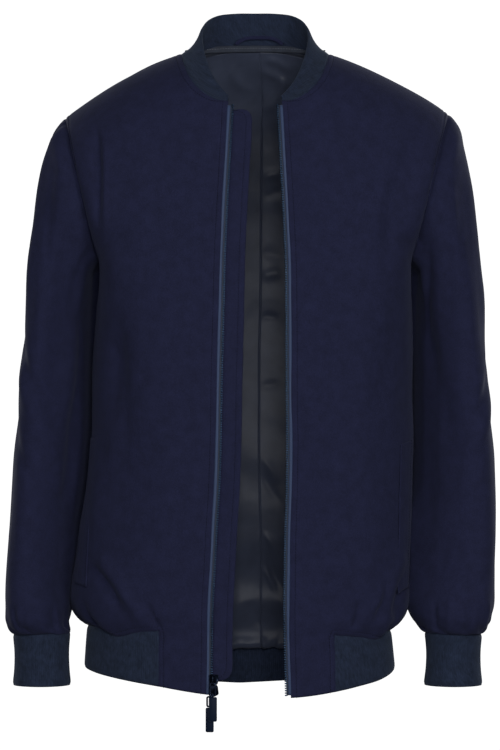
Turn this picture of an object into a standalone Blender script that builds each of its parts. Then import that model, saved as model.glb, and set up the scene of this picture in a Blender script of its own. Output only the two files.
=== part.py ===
"""A worn bomber jacket: navy woven cloth with rib-knit collar, cuffs and hem, and an open two-way zip.

Tables are in millimetres and the model is in metres. +Z is up, the front faces -Y and the wearer's left
is +X. The origin is the middle of the neck opening, level with the points where collar and shoulder
seams meet. Every cloth piece is a wall between an outer surface, made from sections of the garment,
and the same surface moved in by the cloth's thickness.
"""

import math
from collections import namedtuple

import bmesh
import bpy
import mathutils
import numpy as np

MM = 0.001

# ---------------------------------------------------------------- driving dimensions
CLOTH = 2.0            # shell cloth with its backing
RIB = 3.2              # rib knit, folded double
LINING = 1.2
SEAM = 0.3             # distance between neighbouring pieces
NECK_HALF = 85.0       # from the middle to the point where collar and shoulder seams meet
SHOULDER_Z_POWER = 1.9  # how the shoulder line steepens towards the sleeve
UNDERARM_Z = -245.0
FRONT_NECK_LEVEL = 3   # yoke levels (rows of YOKE) at which the neckline ends, front and back
BACK_NECK_LEVEL = 2
NECK_ROUND = 2.4
TAB_SHARE = 0.27       # share of a front's width that runs down to the hem as a flat tab

TAPE_HIDDEN = 9.0      # zip tape under the front
TAPE_SHOWN = 3.6       # zip tape past the front's edge
TEETH_WIDTH = 3.0
TAPE_THICK = 1.0
TEETH_THICK = 2.5
ZIP_TOP_Z = -67.0
ZIP_BOTTOM_Z = -725.0
GUARD_REACH = 28.0     # zip guard past the front's edge
GUARD_TOP_Z = -72.0
GUARD_BOTTOM_Z = -711.0
GUARD_CORNER = 14.0
GUARD_BACK = 1.3       # the guard stands this much further back past the teeth, clear of the sliders
GUARD_COLUMNS = (-3.0, 2.0, TAPE_HIDDEN)

WELT_THICK = 1.6
WELT_TOP_DROP = 0.48   # share of the way from underarm to rib
WELT_BOTTOM_DROP = 0.88
WELT_WIDTH = 2.7       # in columns of the front
WELT_GAP = 0.55        # between a welt and the front's surface

LOOP_MIDDLE = 5.0      # hanger loop
LOOP_HALF = 28.0
LOOP_RISE = 9.0
LOOP_RADIUS = 2.0
LOOP_CLEAR = 1.6       # from the collar, and how much more for each millimetre up the leaning collar
LOOP_LEAN = 0.22

SLIDER_TOP_HALF = 5.4  # half widths of a slider's plates at the end where the tapes part and at the other
SLIDER_END_HALF = 4.4
SLIDER_HEIGHT = 11.5
SLIDER_PLATE = 1.1
SLIDER_POST = 0.9      # half the width of the post between its plates
SLIDER_CHANNEL = 3.2   # clear height between its plates
SLIDER_SIDE_GAP = 0.35  # between the teeth and the post
UPPER_SLIDER_Z = -711.7
LOWER_SLIDER_Z = -723.5
BAIL_WIRE = 0.65
UPPER_BAIL_OUT = 5.7   # how far the upper bail stands off its plate
LOWER_BAIL_RADIUS = 1.95
LOWER_BAIL_ASIDE = 4.25  # the lower bail sits to the side of the slider's middle
PULL_WIRE = 0.6
PULL_PLAY = 0.35       # between a pull's wire and its bail
PULL_RING_HALF = 2.9
UPPER_GRIP_DROP = 15.5  # from a pull's hinge line to the top of its grip
LOWER_GRIP_DROP = 12.3
EYE_RADIUS = 1.6
EYE_WIRE = 0.6
GRIP_LENGTH = 27.0
GRIP_WIDTH = 8.4
GRIP_THICK = 3.2
GRIP_ROUND = 1.2

# ---------------------------------------------------------------- tables of the garment's sections
# A yoke section runs from the middle of the garment to the armhole. Level 0 is the shoulder seam,
# positive levels run down the front to the underarm and negative ones down the back.
Yoke = namedtuple("Yoke", "level side_x side_y side_z mid_y mid_z square")
YOKE = [
    Yoke(-7, 176.0, 0.0, -245.0, 127.0, -245.0, 4.6),
    Yoke(-6, 179.5, 36.0, -237.0, 127.0, -210.0, 3.4),
    Yoke(-5, 189.0, 67.0, -209.0, 122.0, -140.0, 2.8),
    Yoke(-4, 199.5, 77.0, -170.0, 112.0, -75.0, 2.5),
    Yoke(-3, 208.0, 70.0, -133.0, 98.0, -22.0, 2.4),
    Yoke(-2, 214.0, 53.0, -103.0, 78.0, 12.0, 2.3),
    Yoke(-1, 217.0, 30.0, -84.0, 48.0, 17.0, 2.2),
    Yoke(0, 218.0, 6.0, -75.0, 6.0, 14.0, 2.2),
    Yoke(1, 217.0, -20.0, -82.0, -45.0, 3.0, 2.2),
    Yoke(2, 212.0, -43.0, -101.0, -78.0, -25.0, 2.3),
    Yoke(3, 205.5, -62.0, -130.0, -97.0, -60.0, 2.4),
    Yoke(4, 197.0, -71.0, -166.0, -110.0, -115.0, 2.5),
    Yoke(5, 187.5, -63.0, -205.0, -119.0, -175.0, 2.8),
    Yoke(6, 179.0, -35.0, -236.0, -124.0, -222.0, 3.4),
    Yoke(7, 176.0, 0.0, -245.0, -126.0, -245.0, 4.6),
]

# Rings of the body from the underarm to the rib's seam.
Ring = namedtuple("Ring", "z half_width front back square")
BODY = [
    Ring(-245.0, 176.0, 126.0, 127.0, 4.6),
    Ring(-270.0, 178.5, 128.5, 126.0, 3.7),
    Ring(-300.0, 181.5, 130.0, 123.0, 3.1),
    Ring(-340.0, 183.5, 131.0, 118.5, 2.75),
    Ring(-400.0, 184.5, 131.0, 113.0, 2.55),
    Ring(-490.0, 186.0, 131.0, 110.0, 2.5),
    Ring(-540.0, 190.0, 131.0, 113.0, 2.5),
    Ring(-584.0, 191.5, 131.0, 119.0, 2.5),
    Ring(-618.0, 194.0, 131.0, 123.0, 2.5),
    Ring(-641.0, 193.0, 130.5, 121.0, 2.5),
    Ring(-654.0, 187.0, 130.0, 116.0, 2.5),
    Ring(-665.0, 174.0, 129.0, 108.0, 2.5),
]

# The seam between cloth and rib and the hem's lower edge, round the body, and how far the edge flares.
# Angle 0 is the middle of the front, 90 the wearer's left side and 180 the middle of the back.
Hem = namedtuple("Hem", "angle seam_z edge_z out")
HEM = [
    Hem(-180.0, -672.0, -733.0, 1.0),
    Hem(-120.0, -668.0, -719.0, 2.0),
    Hem(-90.0, -659.0, -706.0, 3.0),
    Hem(-80.0, -657.5, -706.5, 3.0),
    Hem(-64.0, -660.0, -710.0, 2.0),
    Hem(-53.0, -667.0, -713.0, 1.0),
    Hem(-40.0, -661.0, -717.0, 0.0),
    Hem(-28.0, -658.5, -721.0, 0.0),
    Hem(-12.0, -658.5, -728.0, -1.0),
    Hem(12.0, -663.0, -732.0, -1.0),
    Hem(28.0, -663.0, -727.0, 0.0),
    Hem(45.0, -667.0, -720.5, 0.0),
    Hem(58.0, -671.0, -716.0, 1.0),
    Hem(67.0, -664.0, -712.0, 2.0),
    Hem(80.0, -663.0, -707.0, 3.0),
    Hem(90.0, -664.0, -706.0, 3.0),
    Hem(120.0, -669.0, -719.0, 2.0),
    Hem(180.0, -672.0, -733.0, 1.0),
]

# Half the opening between the fronts, from the neck down.
FrontEdge = namedtuple("FrontEdge", "z half_gap")
FRONT_EDGE = [
    FrontEdge(-50.0, 29.5),
    FrontEdge(-130.0, 34.0),
    FrontEdge(-230.0, 39.0),
    FrontEdge(-380.0, 41.5),
    FrontEdge(-560.0, 44.0),
    FrontEdge(-740.0, 47.5),
]

# The worn garment leans to the wearer's right below the chest; its front edges take part of the lean.
Lean = namedtuple("Lean", "z shift")
LEAN = [
    Lean(60.0, 0.0),
    Lean(-245.0, 0.0),
    Lean(-250.0, 0.0),
    Lean(-380.0, -3.0),
    Lean(-491.0, -5.5),
    Lean(-538.0, -11.0),
    Lean(-584.0, -15.0),
    Lean(-618.0, -18.0),
    Lean(-740.0, -18.0),
]
EDGE_LEAN_SHARE = 0.4
EDGE_TURN = 20.0       # degrees round the body at which a front's edge lies
SHOULDER_LIFT = (5.0, 0.0, 4.0)  # the wearer's left shoulder is carried wider and higher
SHOULDER_LIFT_REACH = 70.0

# Rings of a hanging sleeve after the armhole: the point nearest the body, the outermost point, the middle
# in depth, half the depth, and the shares of the body's lean that the two points take.
Sleeve = namedtuple("Sleeve", "in_x in_y in_z out_x out_y out_z half_y in_lean out_lean")
SLEEVE = [
    Sleeve(186.0, 5.0, -253.0, 230.5, 2.0, -91.0, 77.0, 1.0, 1.0),
    Sleeve(188.0, 16.0, -266.0, 239.0, -2.0, -121.0, 78.0, 1.0, 1.0),
    Sleeve(186.5, 30.0, -285.0, 246.0, -7.0, -165.0, 76.0, 1.0, 1.0),
    Sleeve(185.5, 42.0, -312.0, 252.5, -12.0, -215.0, 72.0, 1.0, 0.8),
    Sleeve(184.5, 46.0, -352.0, 259.5, -16.0, -285.0, 68.0, 1.0, 0.5),
    Sleeve(184.5, 45.0, -402.0, 266.5, -19.0, -360.0, 64.5, 1.0, 0.4),
    Sleeve(183.5, 42.0, -456.0, 271.0, -20.0, -432.0, 61.5, 1.0, 0.3),
    Sleeve(187.0, 38.0, -510.0, 274.0, -21.0, -500.0, 59.0, 1.0, 0.25),
    Sleeve(192.5, 30.0, -562.0, 276.0, -22.0, -560.0, 57.0, 1.0, 0.25),
    Sleeve(197.5, 14.0, -606.0, 280.0, -21.0, -608.0, 55.5, 1.0, 0.33),
    Sleeve(200.0, -6.0, -636.0, 280.0, -20.0, -640.0, 54.0, 0.9, 0.36),
    Sleeve(202.5, -12.0, -654.0, 277.0, -18.0, -657.0, 50.0, 0.7, 0.45),
    Sleeve(202.5, -15.0, -665.0, 269.0, -15.0, -668.0, 40.0, 0.45, 0.45),
]
SLEEVE_SQUARE = 2.25

Cuff = namedtuple("Cuff", "drop half_x half_y")
CUFF = [
    Cuff(0.0, 33.0, 38.5),
    Cuff(14.0, 31.5, 37.0),
    Cuff(38.0, 31.5, 37.0),
    Cuff(59.0, 33.5, 39.0),
]

# The collar's upper edge on the wearer's left, from the middle of the back to the zip.
CollarEdge = namedtuple("CollarEdge", "x y z")
COLLAR_EDGE = [
    CollarEdge(0.0, 73.0, 51.5),
    CollarEdge(37.0, 68.0, 50.0),
    CollarEdge(57.0, 43.0, 40.0),
    CollarEdge(63.0, 8.0, 22.0),
    CollarEdge(57.5, -31.0, -3.0),
    CollarEdge(46.5, -66.0, -33.0),
    CollarEdge(31.5, -93.0, -55.5),
]

# Gathers are troughs pressed into the cloth above a rib: place round the piece, depth, half width, height.
Gather = namedtuple("Gather", "angle depth spread reach")
HEM_GATHERS = [
    Gather(-168.0, 4.5, 4.2, 34.0),
    Gather(-152.0, 4.0, 4.0, 28.0),
    Gather(-137.0, 5.0, 4.2, 36.0),
    Gather(-121.0, 4.5, 4.2, 30.0),
    Gather(-106.0, 5.0, 4.2, 36.0),
    Gather(-82.0, 5.0, 3.4, 30.0),
    Gather(-66.0, 7.0, 3.6, 40.0),
    Gather(-46.0, 2.0, 4.0, 24.0),
    Gather(48.0, 2.0, 4.0, 24.0),
    Gather(64.0, 6.5, 3.4, 40.0),
    Gather(80.0, 5.0, 3.6, 26.0),
    Gather(98.0, 4.5, 4.2, 34.0),
    Gather(113.0, 4.5, 4.0, 28.0),
    Gather(129.0, 5.0, 4.2, 36.0),
    Gather(145.0, 4.0, 4.2, 30.0),
    Gather(160.0, 5.0, 4.2, 38.0),
    Gather(175.0, 4.0, 4.0, 26.0),
]
CUFF_GATHERS = [
    Gather(22.0, 4.5, 8.0, 26.0),
    Gather(62.0, 5.0, 8.0, 34.0),
    Gather(104.0, 5.5, 8.0, 24.0),
    Gather(141.0, 5.0, 8.0, 32.0),
    Gather(176.0, 5.5, 8.0, 40.0),
    Gather(216.0, 4.5, 8.0, 28.0),
    Gather(257.0, 5.5, 8.0, 34.0),
    Gather(296.0, 4.5, 8.0, 26.0),
    Gather(333.0, 5.0, 8.0, 30.0),
]

# Long soft folds in a front, seen from the front: ends, depth and half width.
Fold = namedtuple("Fold", "side x0 z0 x1 z1 depth spread")
FRONT_FOLDS = [
    Fold(-1, 176.0, -112.0, 164.0, -225.0, 3.5, 10.0),
    Fold(1, 178.0, -108.0, 168.0, -205.0, 3.0, 10.0),
    Fold(-1, 150.0, -320.0, 172.0, -450.0, 5.5, 11.0),
    Fold(1, 168.0, -345.0, 174.0, -420.0, 2.5, 10.0),
]
# Long soft folds in a sleeve: place round it, level of its first and last ring, depth and half width.
SleeveFold = namedtuple("SleeveFold", "side angle first last depth spread")
SLEEVE_FOLDS = [
    SleeveFold(-1, 128.0, 0.8, 5.5, 3.0, 9.0),
    SleeveFold(-1, 70.0, 2.5, 9.5, 4.0, 10.0),
    SleeveFold(-1, 250.0, 2.0, 8.0, 4.0, 12.0),
    SleeveFold(1, 132.0, 1.0, 7.0, 3.0, 9.0),
    SleeveFold(1, 72.0, 3.0, 9.0, 3.5, 10.0),
    SleeveFold(1, 246.0, 2.5, 8.5, 4.0, 12.0),
]

# Where a pocket's opening edge lies among the front's columns, at the welt's top and bottom.
Welt = namedtuple("Welt", "side top_column bottom_column")
WELTS = [
    Welt(1, 9.9, 10.0),
    Welt(-1, 12.0, 10.5),
]

# How far the back lining stands in from the back, by height, and where its middle pleat lies.
Slack = namedtuple("Slack", "z inset pleat_x")
LINING_SLACK = [
    Slack(20.0, 3.1, 1.0),
    Slack(-60.0, 3.5, 9.0),
    Slack(-250.0, 4.5, 8.0),
    Slack(-450.0, 7.0, 8.5),
    Slack(-600.0, 11.0, 9.0),
    Slack(-672.0, 14.0, 8.0),
]
PLEAT_DEPTH = 3.5
# The lining's lower edge rolls over the rib's seam: drop below the seam and distance in from the rib's face.
Roll = namedtuple("Roll", "drop inset")
LINING_ROLL = [Roll(12.0, 15.5), Roll(18.5, 13.0), Roll(20.0, 9.0), Roll(16.0, 6.0)]
LINING_COLUMNS = [0, 1, 2, 4, 6, 8, 10, 11, 12, 13]  # of the back's columns
LINING_ROWS = [0, 1, 2, 3, 4, 5, 7, 8, 9, 10, 11, 12, 14, 16, 18, 21, 24]  # of the back's rows

# ---------------------------------------------------------------- how finely the pieces are divided
FRONT_NECK_ROWS = 8
BACK_NECK_ROWS = 6
FRONT_LEVELS = [3.6, 4.3, 5.0, 5.6, 6.2, 6.6, 7.0]
BACK_LEVELS = [2.6, 3.3, 4.1, 4.9, 5.7, 6.4, 7.0]
BODY_DROPS = [0.10, 0.22, 0.35, 0.48, 0.61, 0.73, 0.82, 0.88, 0.925, 0.96, 0.982, 1.0]
TAB_COLUMNS = 4
FRONT_COLUMNS = 17
BACK_COLUMNS = 13
TAB_ROWS = 3
RIB_ROWS = 4
SLEEVE_LEVELS = [0.0, 0.5, 1.0, 1.7, 2.6, 3.6, 4.8, 6.1, 7.6, 9.0, 10.0, 10.9, 11.7, 12.4, 13.0]
SLEEVE_LONGEST = 19.0  # a longer step round the armhole is halved, and a point closer than this is left out
SLEEVE_SHORTEST = 6.0
CUFF_COLUMNS = 22
COLLAR_ROWS = 5
FINE = 120             # points from which a section's length is measured

GARMENT = "bomber_jacket"
ARMHOLE_NORMAL = (0.972, 0.0, -0.236)


# ---------------------------------------------------------------- curves through tables
def spline(keys, values, at):
    """Values at the given places of a smooth curve through a table's rows."""
    keys = np.asarray(keys, float)
    values = np.asarray(values, float)
    at = np.clip(np.asarray(at, float), keys[0], keys[-1])
    extra = (1,) * (values.ndim - 1)
    steps = np.diff(keys).reshape(-1, *extra)
    slopes = np.diff(values, axis=0) / steps
    tangents = np.empty_like(values)
    tangents[0], tangents[-1] = slopes[0], slopes[-1]
    before = steps[1:] / (steps[:-1] + steps[1:])
    tangents[1:-1] = slopes[:-1] * before + slopes[1:] * (1 - before)
    i = np.clip(np.searchsorted(keys, at, side="right") - 1, 0, len(keys) - 2)
    t = ((at - keys[i]) / (keys[i + 1] - keys[i])).reshape(at.shape + extra)
    h = (keys[i + 1] - keys[i]).reshape(at.shape + extra)
    return (
        values[i] * (2 * t**3 - 3 * t**2 + 1)
        + values[i + 1] * (3 * t**2 - 2 * t**3)
        + tangents[i] * h * (t**3 - 2 * t**2 + t)
        + tangents[i + 1] * h * (t**3 - t**2)
    )


def column(table, key, name, at):
    """One named column of a table, read off a smooth curve at the given places."""
    rows = sorted(table, key=lambda row: getattr(row, key))
    return spline([getattr(r, key) for r in rows], [getattr(r, name) for r in rows], at)


def along(points, shares):
    """Points at the given shares of a polyline's length."""
    points = np.asarray(points, float)
    length = np.concatenate([[0.0], np.cumsum(np.linalg.norm(np.diff(points, axis=0), axis=1))])
    places = np.asarray(shares) * length[-1]
    return np.stack([np.interp(places, length, points[:, k]) for k in range(3)], axis=-1)


def smooth_step(x):
    x = np.clip(x, 0.0, 1.0)
    return x * x * (3 - 2 * x)


def bump(x):
    """1 at zero, falling smoothly to nothing."""
    return np.exp(-(x**2))


def worn(points):
    """The points as the garment is worn: leaning to one side, one shoulder carried wider and higher."""
    moved = np.array(points, float)
    x, y, z = moved[..., 0].copy(), moved[..., 1], moved[..., 2].copy()
    turn = np.degrees(np.arctan2(np.abs(x), -y))
    share = np.clip((turn - EDGE_TURN) / (90.0 - EDGE_TURN), 0.0, 1.0) ** 1.45
    moved[..., 0] += column(LEAN, "z", "shift", z) * (EDGE_LEAN_SHARE + (1 - EDGE_LEAN_SHARE) * share)
    return lifted(moved)


def lifted(points):
    """The points with the lift of the wearer's left shoulder."""
    shoulder = np.array([YOKE[7].side_x, YOKE[7].side_y, YOKE[7].side_z])
    apart = np.linalg.norm(points - shoulder, axis=-1) / SHOULDER_LIFT_REACH
    return points + np.exp(-(apart**2))[..., None] * np.array(SHOULDER_LIFT)


def gathers(table, angle, height):
    """Depth of the troughs above a rib seam, for places round the piece in degrees and heights above it."""
    depth = np.zeros(np.broadcast(angle, height).shape)
    for row in table:
        apart = (angle - row.angle + 180.0) % 360.0 - 180.0
        fade = smooth_step(1 - height / row.reach) * smooth_step(height / 8.0)
        depth += row.depth * bump(apart / row.spread) * fade
    return depth


# ---------------------------------------------------------------- the body's surfaces
def yoke_section(level, inner_x, shares):
    """Points of one yoke section from inner_x to the armhole."""
    row = spline([r.level for r in YOKE], [r[1:] for r in YOKE], level)
    side_x, side_y, side_z, mid_y, mid_z, square = row
    start = math.asin(min(1.0, (inner_x / side_x) ** (square / 2)))
    turn = np.linspace(start, math.pi / 2, FINE)
    x = side_x * np.sin(turn) ** (2 / square)
    y = side_y + (mid_y - side_y) * np.abs(np.cos(turn)) ** (2 / square)
    z = mid_z + (side_z - mid_z) * (x / side_x) ** SHOULDER_Z_POWER
    return along(np.stack([x, y, z], axis=-1), shares)


def hem_level(angle, side, name):
    return column(HEM, "angle", name, np.degrees(angle) * side)


def body_point(angle, drop, side):
    """Points of the body: angle from the front, drop from 0 at the underarm to 1 at the rib's seam."""
    seam = hem_level(angle, side, "seam_z")
    z = UNDERARM_Z + drop * (seam - UNDERARM_Z)
    ring_z = UNDERARM_Z + drop * (BODY[-1].z - UNDERARM_Z)
    half, square = column(BODY, "z", "half_width", ring_z), column(BODY, "z", "square", ring_z)
    front, back = column(BODY, "z", "front", ring_z), column(BODY, "z", "back", ring_z)
    depth = np.where(angle < math.pi / 2, -front, back)
    pressed = 1 - gathers(HEM_GATHERS, np.degrees(angle) * side, z - seam) / 150.0
    x = half * np.abs(np.sin(angle)) ** (2 / square) * pressed
    y = depth * np.abs(np.cos(angle)) ** (2 / square) * pressed
    return np.stack([x, y, z], axis=-1)


def edge_gap(z):
    """Half the opening between the fronts."""
    return column(FRONT_EDGE, "z", "half_gap", z)


def edge_angle(drop):
    """Angle round the body at which a front ends beside the zip."""
    ring_z = UNDERARM_Z + drop * (BODY[-1].z - UNDERARM_Z)
    half, square = column(BODY, "z", "half_width", ring_z), column(BODY, "z", "square", ring_z)
    return float(np.arcsin((edge_gap(ring_z) / half) ** (square / 2)))


def row_angles(drop, start, end, shares, side):
    """Angles round the body, between two others, that lie evenly along the cloth."""
    angle = np.linspace(start, end, FINE)
    plain = body_point(angle, np.full(FINE, drop), side)
    length = np.concatenate([[0.0], np.cumsum(np.linalg.norm(np.diff(plain, axis=0), axis=1))])
    return np.interp(np.asarray(shares) * length[-1], length, angle)


def body_row(drop, start, end, shares, side):
    """One row of the body between two angles, evenly spaced along the cloth."""
    angle = row_angles(drop, start, end, shares, side)
    return body_point(angle, np.full(len(angle), drop), side)


def neck_levels(last, count):
    """Yoke levels from the shoulder to the end of the neckline, closer together where it turns."""
    return last * (1 - (1 - np.linspace(0.0, 1.0, count)) ** 2)


def neckline_x(level, last, end_x):
    """Where the neckline crosses a yoke level."""
    return end_x + (NECK_HALF - end_x) * math.sqrt(max(0.0, 1 - (abs(level) / last) ** NECK_ROUND))


def front_row(level, shares):
    last = FRONT_NECK_LEVEL
    if level < last:
        return yoke_section(level, neckline_x(level, last, float(edge_gap(YOKE[7 + last].mid_z))), shares)
    mid_z = spline([r.level for r in YOKE], [r.mid_z for r in YOKE], level)
    return yoke_section(level, float(edge_gap(mid_z)), shares)


def back_row(level, shares):
    inner = neckline_x(level, BACK_NECK_LEVEL, 0.0) if level > -BACK_NECK_LEVEL else 0.0
    return yoke_section(level, inner, shares)


def hem_ring(angle, side, drop):
    """Points below the rib's seam: drop 0 at the seam, 1 at the hem's lower edge."""
    seam, edge = hem_level(angle, side, "seam_z"), hem_level(angle, side, "edge_z")
    last = BODY[-1]
    depth = np.where(angle < math.pi / 2, -last.front, last.back)
    grow = 1 + hem_level(angle, side, "out") * drop / 130.0
    x = last.half_width * np.abs(np.sin(angle)) ** (2 / last.square) * grow
    y = depth * np.abs(np.cos(angle)) ** (2 / last.square) * grow
    return np.stack([x, y, seam + drop * (edge - seam)], axis=-1)


def tab_row(drop, shares, side):
    """One row of the tab that carries a front down past the rib: drop 0 at the rib's seam, 1 at the hem."""
    row = hem_ring(row_angles(1.0, edge_angle(1.0), math.pi / 2, shares, side), side, drop)
    row[0, 0] = edge_gap(row[0, 2])
    return row


def eased(grid, first, last, passes):
    """The grid with its columns, but the last, smoothed between two rows."""
    made = grid.copy()
    for _ in range(passes):
        above, here, below = made[first - 1:last - 1], made[first:last], made[first + 1:last + 1]
        up = np.linalg.norm(here - above, axis=-1, keepdims=True)
        down = np.linalg.norm(below - here, axis=-1, keepdims=True)
        target = (above * down + below * up) / (up + down)
        made[first:last, :-2] += 0.5 * (target - here)[:, :-2]
    return made


def fold_depth(points, side):
    """Depth of the long folds at points of a front, seen from the front."""
    depth = np.zeros(points.shape[:-1])
    place = points[..., [0, 2]]
    for fold in FRONT_FOLDS:
        if fold.side != side:
            continue
        start = np.array([fold.x0, fold.z0])
        run = np.array([fold.x1, fold.z1]) - start
        share = ((place - start) @ run) / (run @ run)
        apart = np.linalg.norm(place - start - np.clip(share, 0, 1)[..., None] * run, axis=-1)
        fade = smooth_step(share * 4 + 1) * smooth_step((1 - share) * 4 + 1)
        depth += fold.depth * bump(apart / fold.spread) * fade
    return depth


# ---------------------------------------------------------------- walls of cloth
def normals_of(grid, closed=False):
    """Outward unit vectors of a grid whose rows run down and whose columns run from the front to the side."""
    if closed:
        wrapped = np.concatenate([grid[:, -2:-1], grid, grid[:, 1:2]], axis=1)
        across = wrapped[:, 2:] - wrapped[:, :-2]
    else:
        across = np.gradient(grid, axis=1)
    out = np.cross(np.gradient(grid, axis=0), across)
    return unit(out)


def unit(vectors):
    return vectors / np.maximum(np.linalg.norm(vectors, axis=-1, keepdims=True), 1e-9)


def flattened(vectors, normal):
    """Vectors turned into the plane of a seam, so that the rims on both sides of it are parallel."""
    normal = unit(np.asarray(normal, float))
    flat = vectors - (vectors @ normal)[..., None] * normal
    size = np.linalg.norm(flat, axis=-1, keepdims=True)
    share = smooth_step((size - 0.35) / 0.4)
    return unit(vectors * (1 - share) + flat / np.maximum(size, 1e-9) * share)


def mirrored(grid, side):
    """A grid made for the wearer's left, or its mirror image turned round so that it still faces out."""
    return grid if side > 0 else (grid * np.array([-1.0, 1.0, 1.0]))[:, ::-1]


def cloth_object(name, patches, material):
    """A closed wall from patches of (outer points, inner points), which share what they have in common."""
    mesh = bmesh.new()
    pairs = {}
    rims = {}
    for outer, inner in patches:
        rows, columns = outer.shape[:2]
        corner = {}
        for i in range(rows):
            for j in range(columns):
                key = tuple(np.round(outer[i, j], 3))
                if key not in pairs:
                    pairs[key] = (mesh.verts.new(outer[i, j] * MM), mesh.verts.new(inner[i, j] * MM))
                corner[i, j] = pairs[key]
        for i in range(rows - 1):
            for j in range(columns - 1):
                quad = [corner[i, j], corner[i + 1, j], corner[i + 1, j + 1], corner[i, j + 1]]
                for half in (quad[:3], [quad[0], *quad[2:]]):
                    mesh.faces.new([pair[0] for pair in half])
                    mesh.faces.new([pair[1] for pair in reversed(half)])
                for a, b in zip(quad, quad[1:] + quad[:1]):
                    if rims.pop((b[0], a[0]), None) is None:
                        rims[a[0], b[0]] = (a, b)
    for a, b in rims.values():
        mesh.faces.new([b[0], a[0], a[1], b[1]])
    return finished(name, mesh, material)


def swept_object(name, sections, material):
    """A closed body through sections that are rings of points, capped at both ends."""
    mesh = bmesh.new()
    rings = [[mesh.verts.new(np.asarray(p) * MM) for p in section] for section in sections]
    for a, b in zip(rings, rings[1:]):
        for j in range(len(a)):
            k = (j + 1) % len(a)
            mesh.faces.new([a[j], b[j], b[k], a[k]])
    mesh.faces.new(rings[0])
    mesh.faces.new(rings[-1][::-1])
    bmesh.ops.recalc_face_normals(mesh, faces=mesh.faces)
    return finished(name, mesh, material)


def finished(name, mesh, material, angle=40.0):
    data = bpy.data.meshes.new(name)
    mesh.to_mesh(data)
    mesh.free()
    data.shade_smooth()
    data.set_sharp_from_angle(angle=math.radians(angle))
    return placed(name, data, material)


def placed(name, data, material):
    data.materials.append(material)
    obj = bpy.data.objects.new(name, data)
    bpy.data.collections[GARMENT].objects.link(obj)
    return obj


# ---------------------------------------------------------------- fronts and back
def front_shares():
    """Shares of a front's width at which its columns lie; one of them is the tab's side."""
    tab = np.linspace(0.0, TAB_SHARE, TAB_COLUMNS + 1)
    rest = TAB_SHARE + (1 - TAB_SHARE) * np.linspace(0.0, 1.0, FRONT_COLUMNS - TAB_COLUMNS + 1) ** 0.85
    return np.concatenate([tab, rest[1:]])


def panel_grid(rows, yoke_rows, gap):
    """Outer points of a panel, its shoulder and side edges moved by half a seam's gap."""
    grid = eased(np.array(rows), yoke_rows - 4, yoke_rows + 4, 3)
    grid[0, :, 1] += gap
    grid[yoke_rows - 1:, -1, 1] += gap
    return grid


def front_grid(side):
    """Outer points of a front above the rib: rows from the shoulder down, columns from zip to side."""
    shares = front_shares()
    rows = [front_row(level, shares) for level in neck_levels(FRONT_NECK_LEVEL, FRONT_NECK_ROWS)]
    rows += [front_row(level, shares) for level in FRONT_LEVELS]
    rows += [body_row(drop, edge_angle(drop), math.pi / 2, shares, side) for drop in BODY_DROPS]
    grid = panel_grid(rows, FRONT_NECK_ROWS + len(FRONT_LEVELS), -SEAM / 2)
    return grid - normals_of(grid) * fold_depth(grid, side)[..., None]


def back_grid(side, shares):
    """Outer points of half the back, columns from the middle to the side."""
    rows = [back_row(-level, shares) for level in neck_levels(BACK_NECK_LEVEL, BACK_NECK_ROWS)]
    rows += [back_row(-level, shares) for level in BACK_LEVELS]
    rows += [body_row(drop, math.pi, math.pi / 2, shares, side) for drop in BODY_DROPS]
    return panel_grid(rows, BACK_NECK_ROWS + len(BACK_LEVELS), SEAM / 2)


def seam_normals(normals, yoke_rows):
    """Directions across the wall, turned level with the seams at the panel's edges."""
    bent = normals.copy()
    bent[0] = flattened(bent[0], (0, 1, 0))
    bent[0, -1] = flattened(bent[0, -1], ARMHOLE_NORMAL)
    bent[yoke_rows - 1:, -1] = flattened(bent[yoke_rows - 1:, -1], (0, 1, 0))
    bent[1:yoke_rows - 1, -1] = flattened(bent[1:yoke_rows - 1, -1], ARMHOLE_NORMAL)
    bent[-1] = flattened(bent[-1], (0, 0, 1))
    return bent


def front_patches(side):
    """Outer points and outward directions of a front: its main part and the tab below it."""
    grid = front_grid(side)
    drops = np.linspace(0.0, 1.0, TAB_ROWS + 1)
    tab = np.array([tab_row(drop, front_shares(), side) for drop in drops])[:, : TAB_COLUMNS + 1]
    grid[-1, TAB_COLUMNS + 1:, 2] += SEAM / 2
    tab[0] = grid[-1, : TAB_COLUMNS + 1]
    across = seam_normals(normals_of(grid), FRONT_NECK_ROWS + len(FRONT_LEVELS))
    tab_across = normals_of(tab)
    tab_across[0] = across[-1, : TAB_COLUMNS + 1]
    tab_across[1:, -1] = flattened(tab_across[1:, -1], (1, 0, 0))
    return [(grid, across), (tab, tab_across)]


def front_object(name, side, material):
    patches = []
    for outer, across in front_patches(side):
        patches.append(tuple(worn(mirrored(p, side)) for p in (outer, outer - CLOTH * across)))
    return cloth_object(name, patches, material)


def back_half(side, shares):
    """Outer points and outward directions of half the back."""
    grid = back_grid(side, shares)
    grid[-1, :, 2] += SEAM / 2
    across = seam_normals(-normals_of(grid), BACK_NECK_ROWS + len(BACK_LEVELS))
    across[BACK_NECK_ROWS - 1:, 0, 0] = 0.0
    return grid, unit(across)


def back_object(material):
    patches = []
    for side in (1, -1):
        grid, across = back_half(side, np.linspace(0.0, 1.0, BACK_COLUMNS + 1))
        patches.append(tuple(worn(mirrored(p, side)[:, ::-1]) for p in (grid, grid - CLOTH * across)))
    return cloth_object("back", patches, material)


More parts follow.
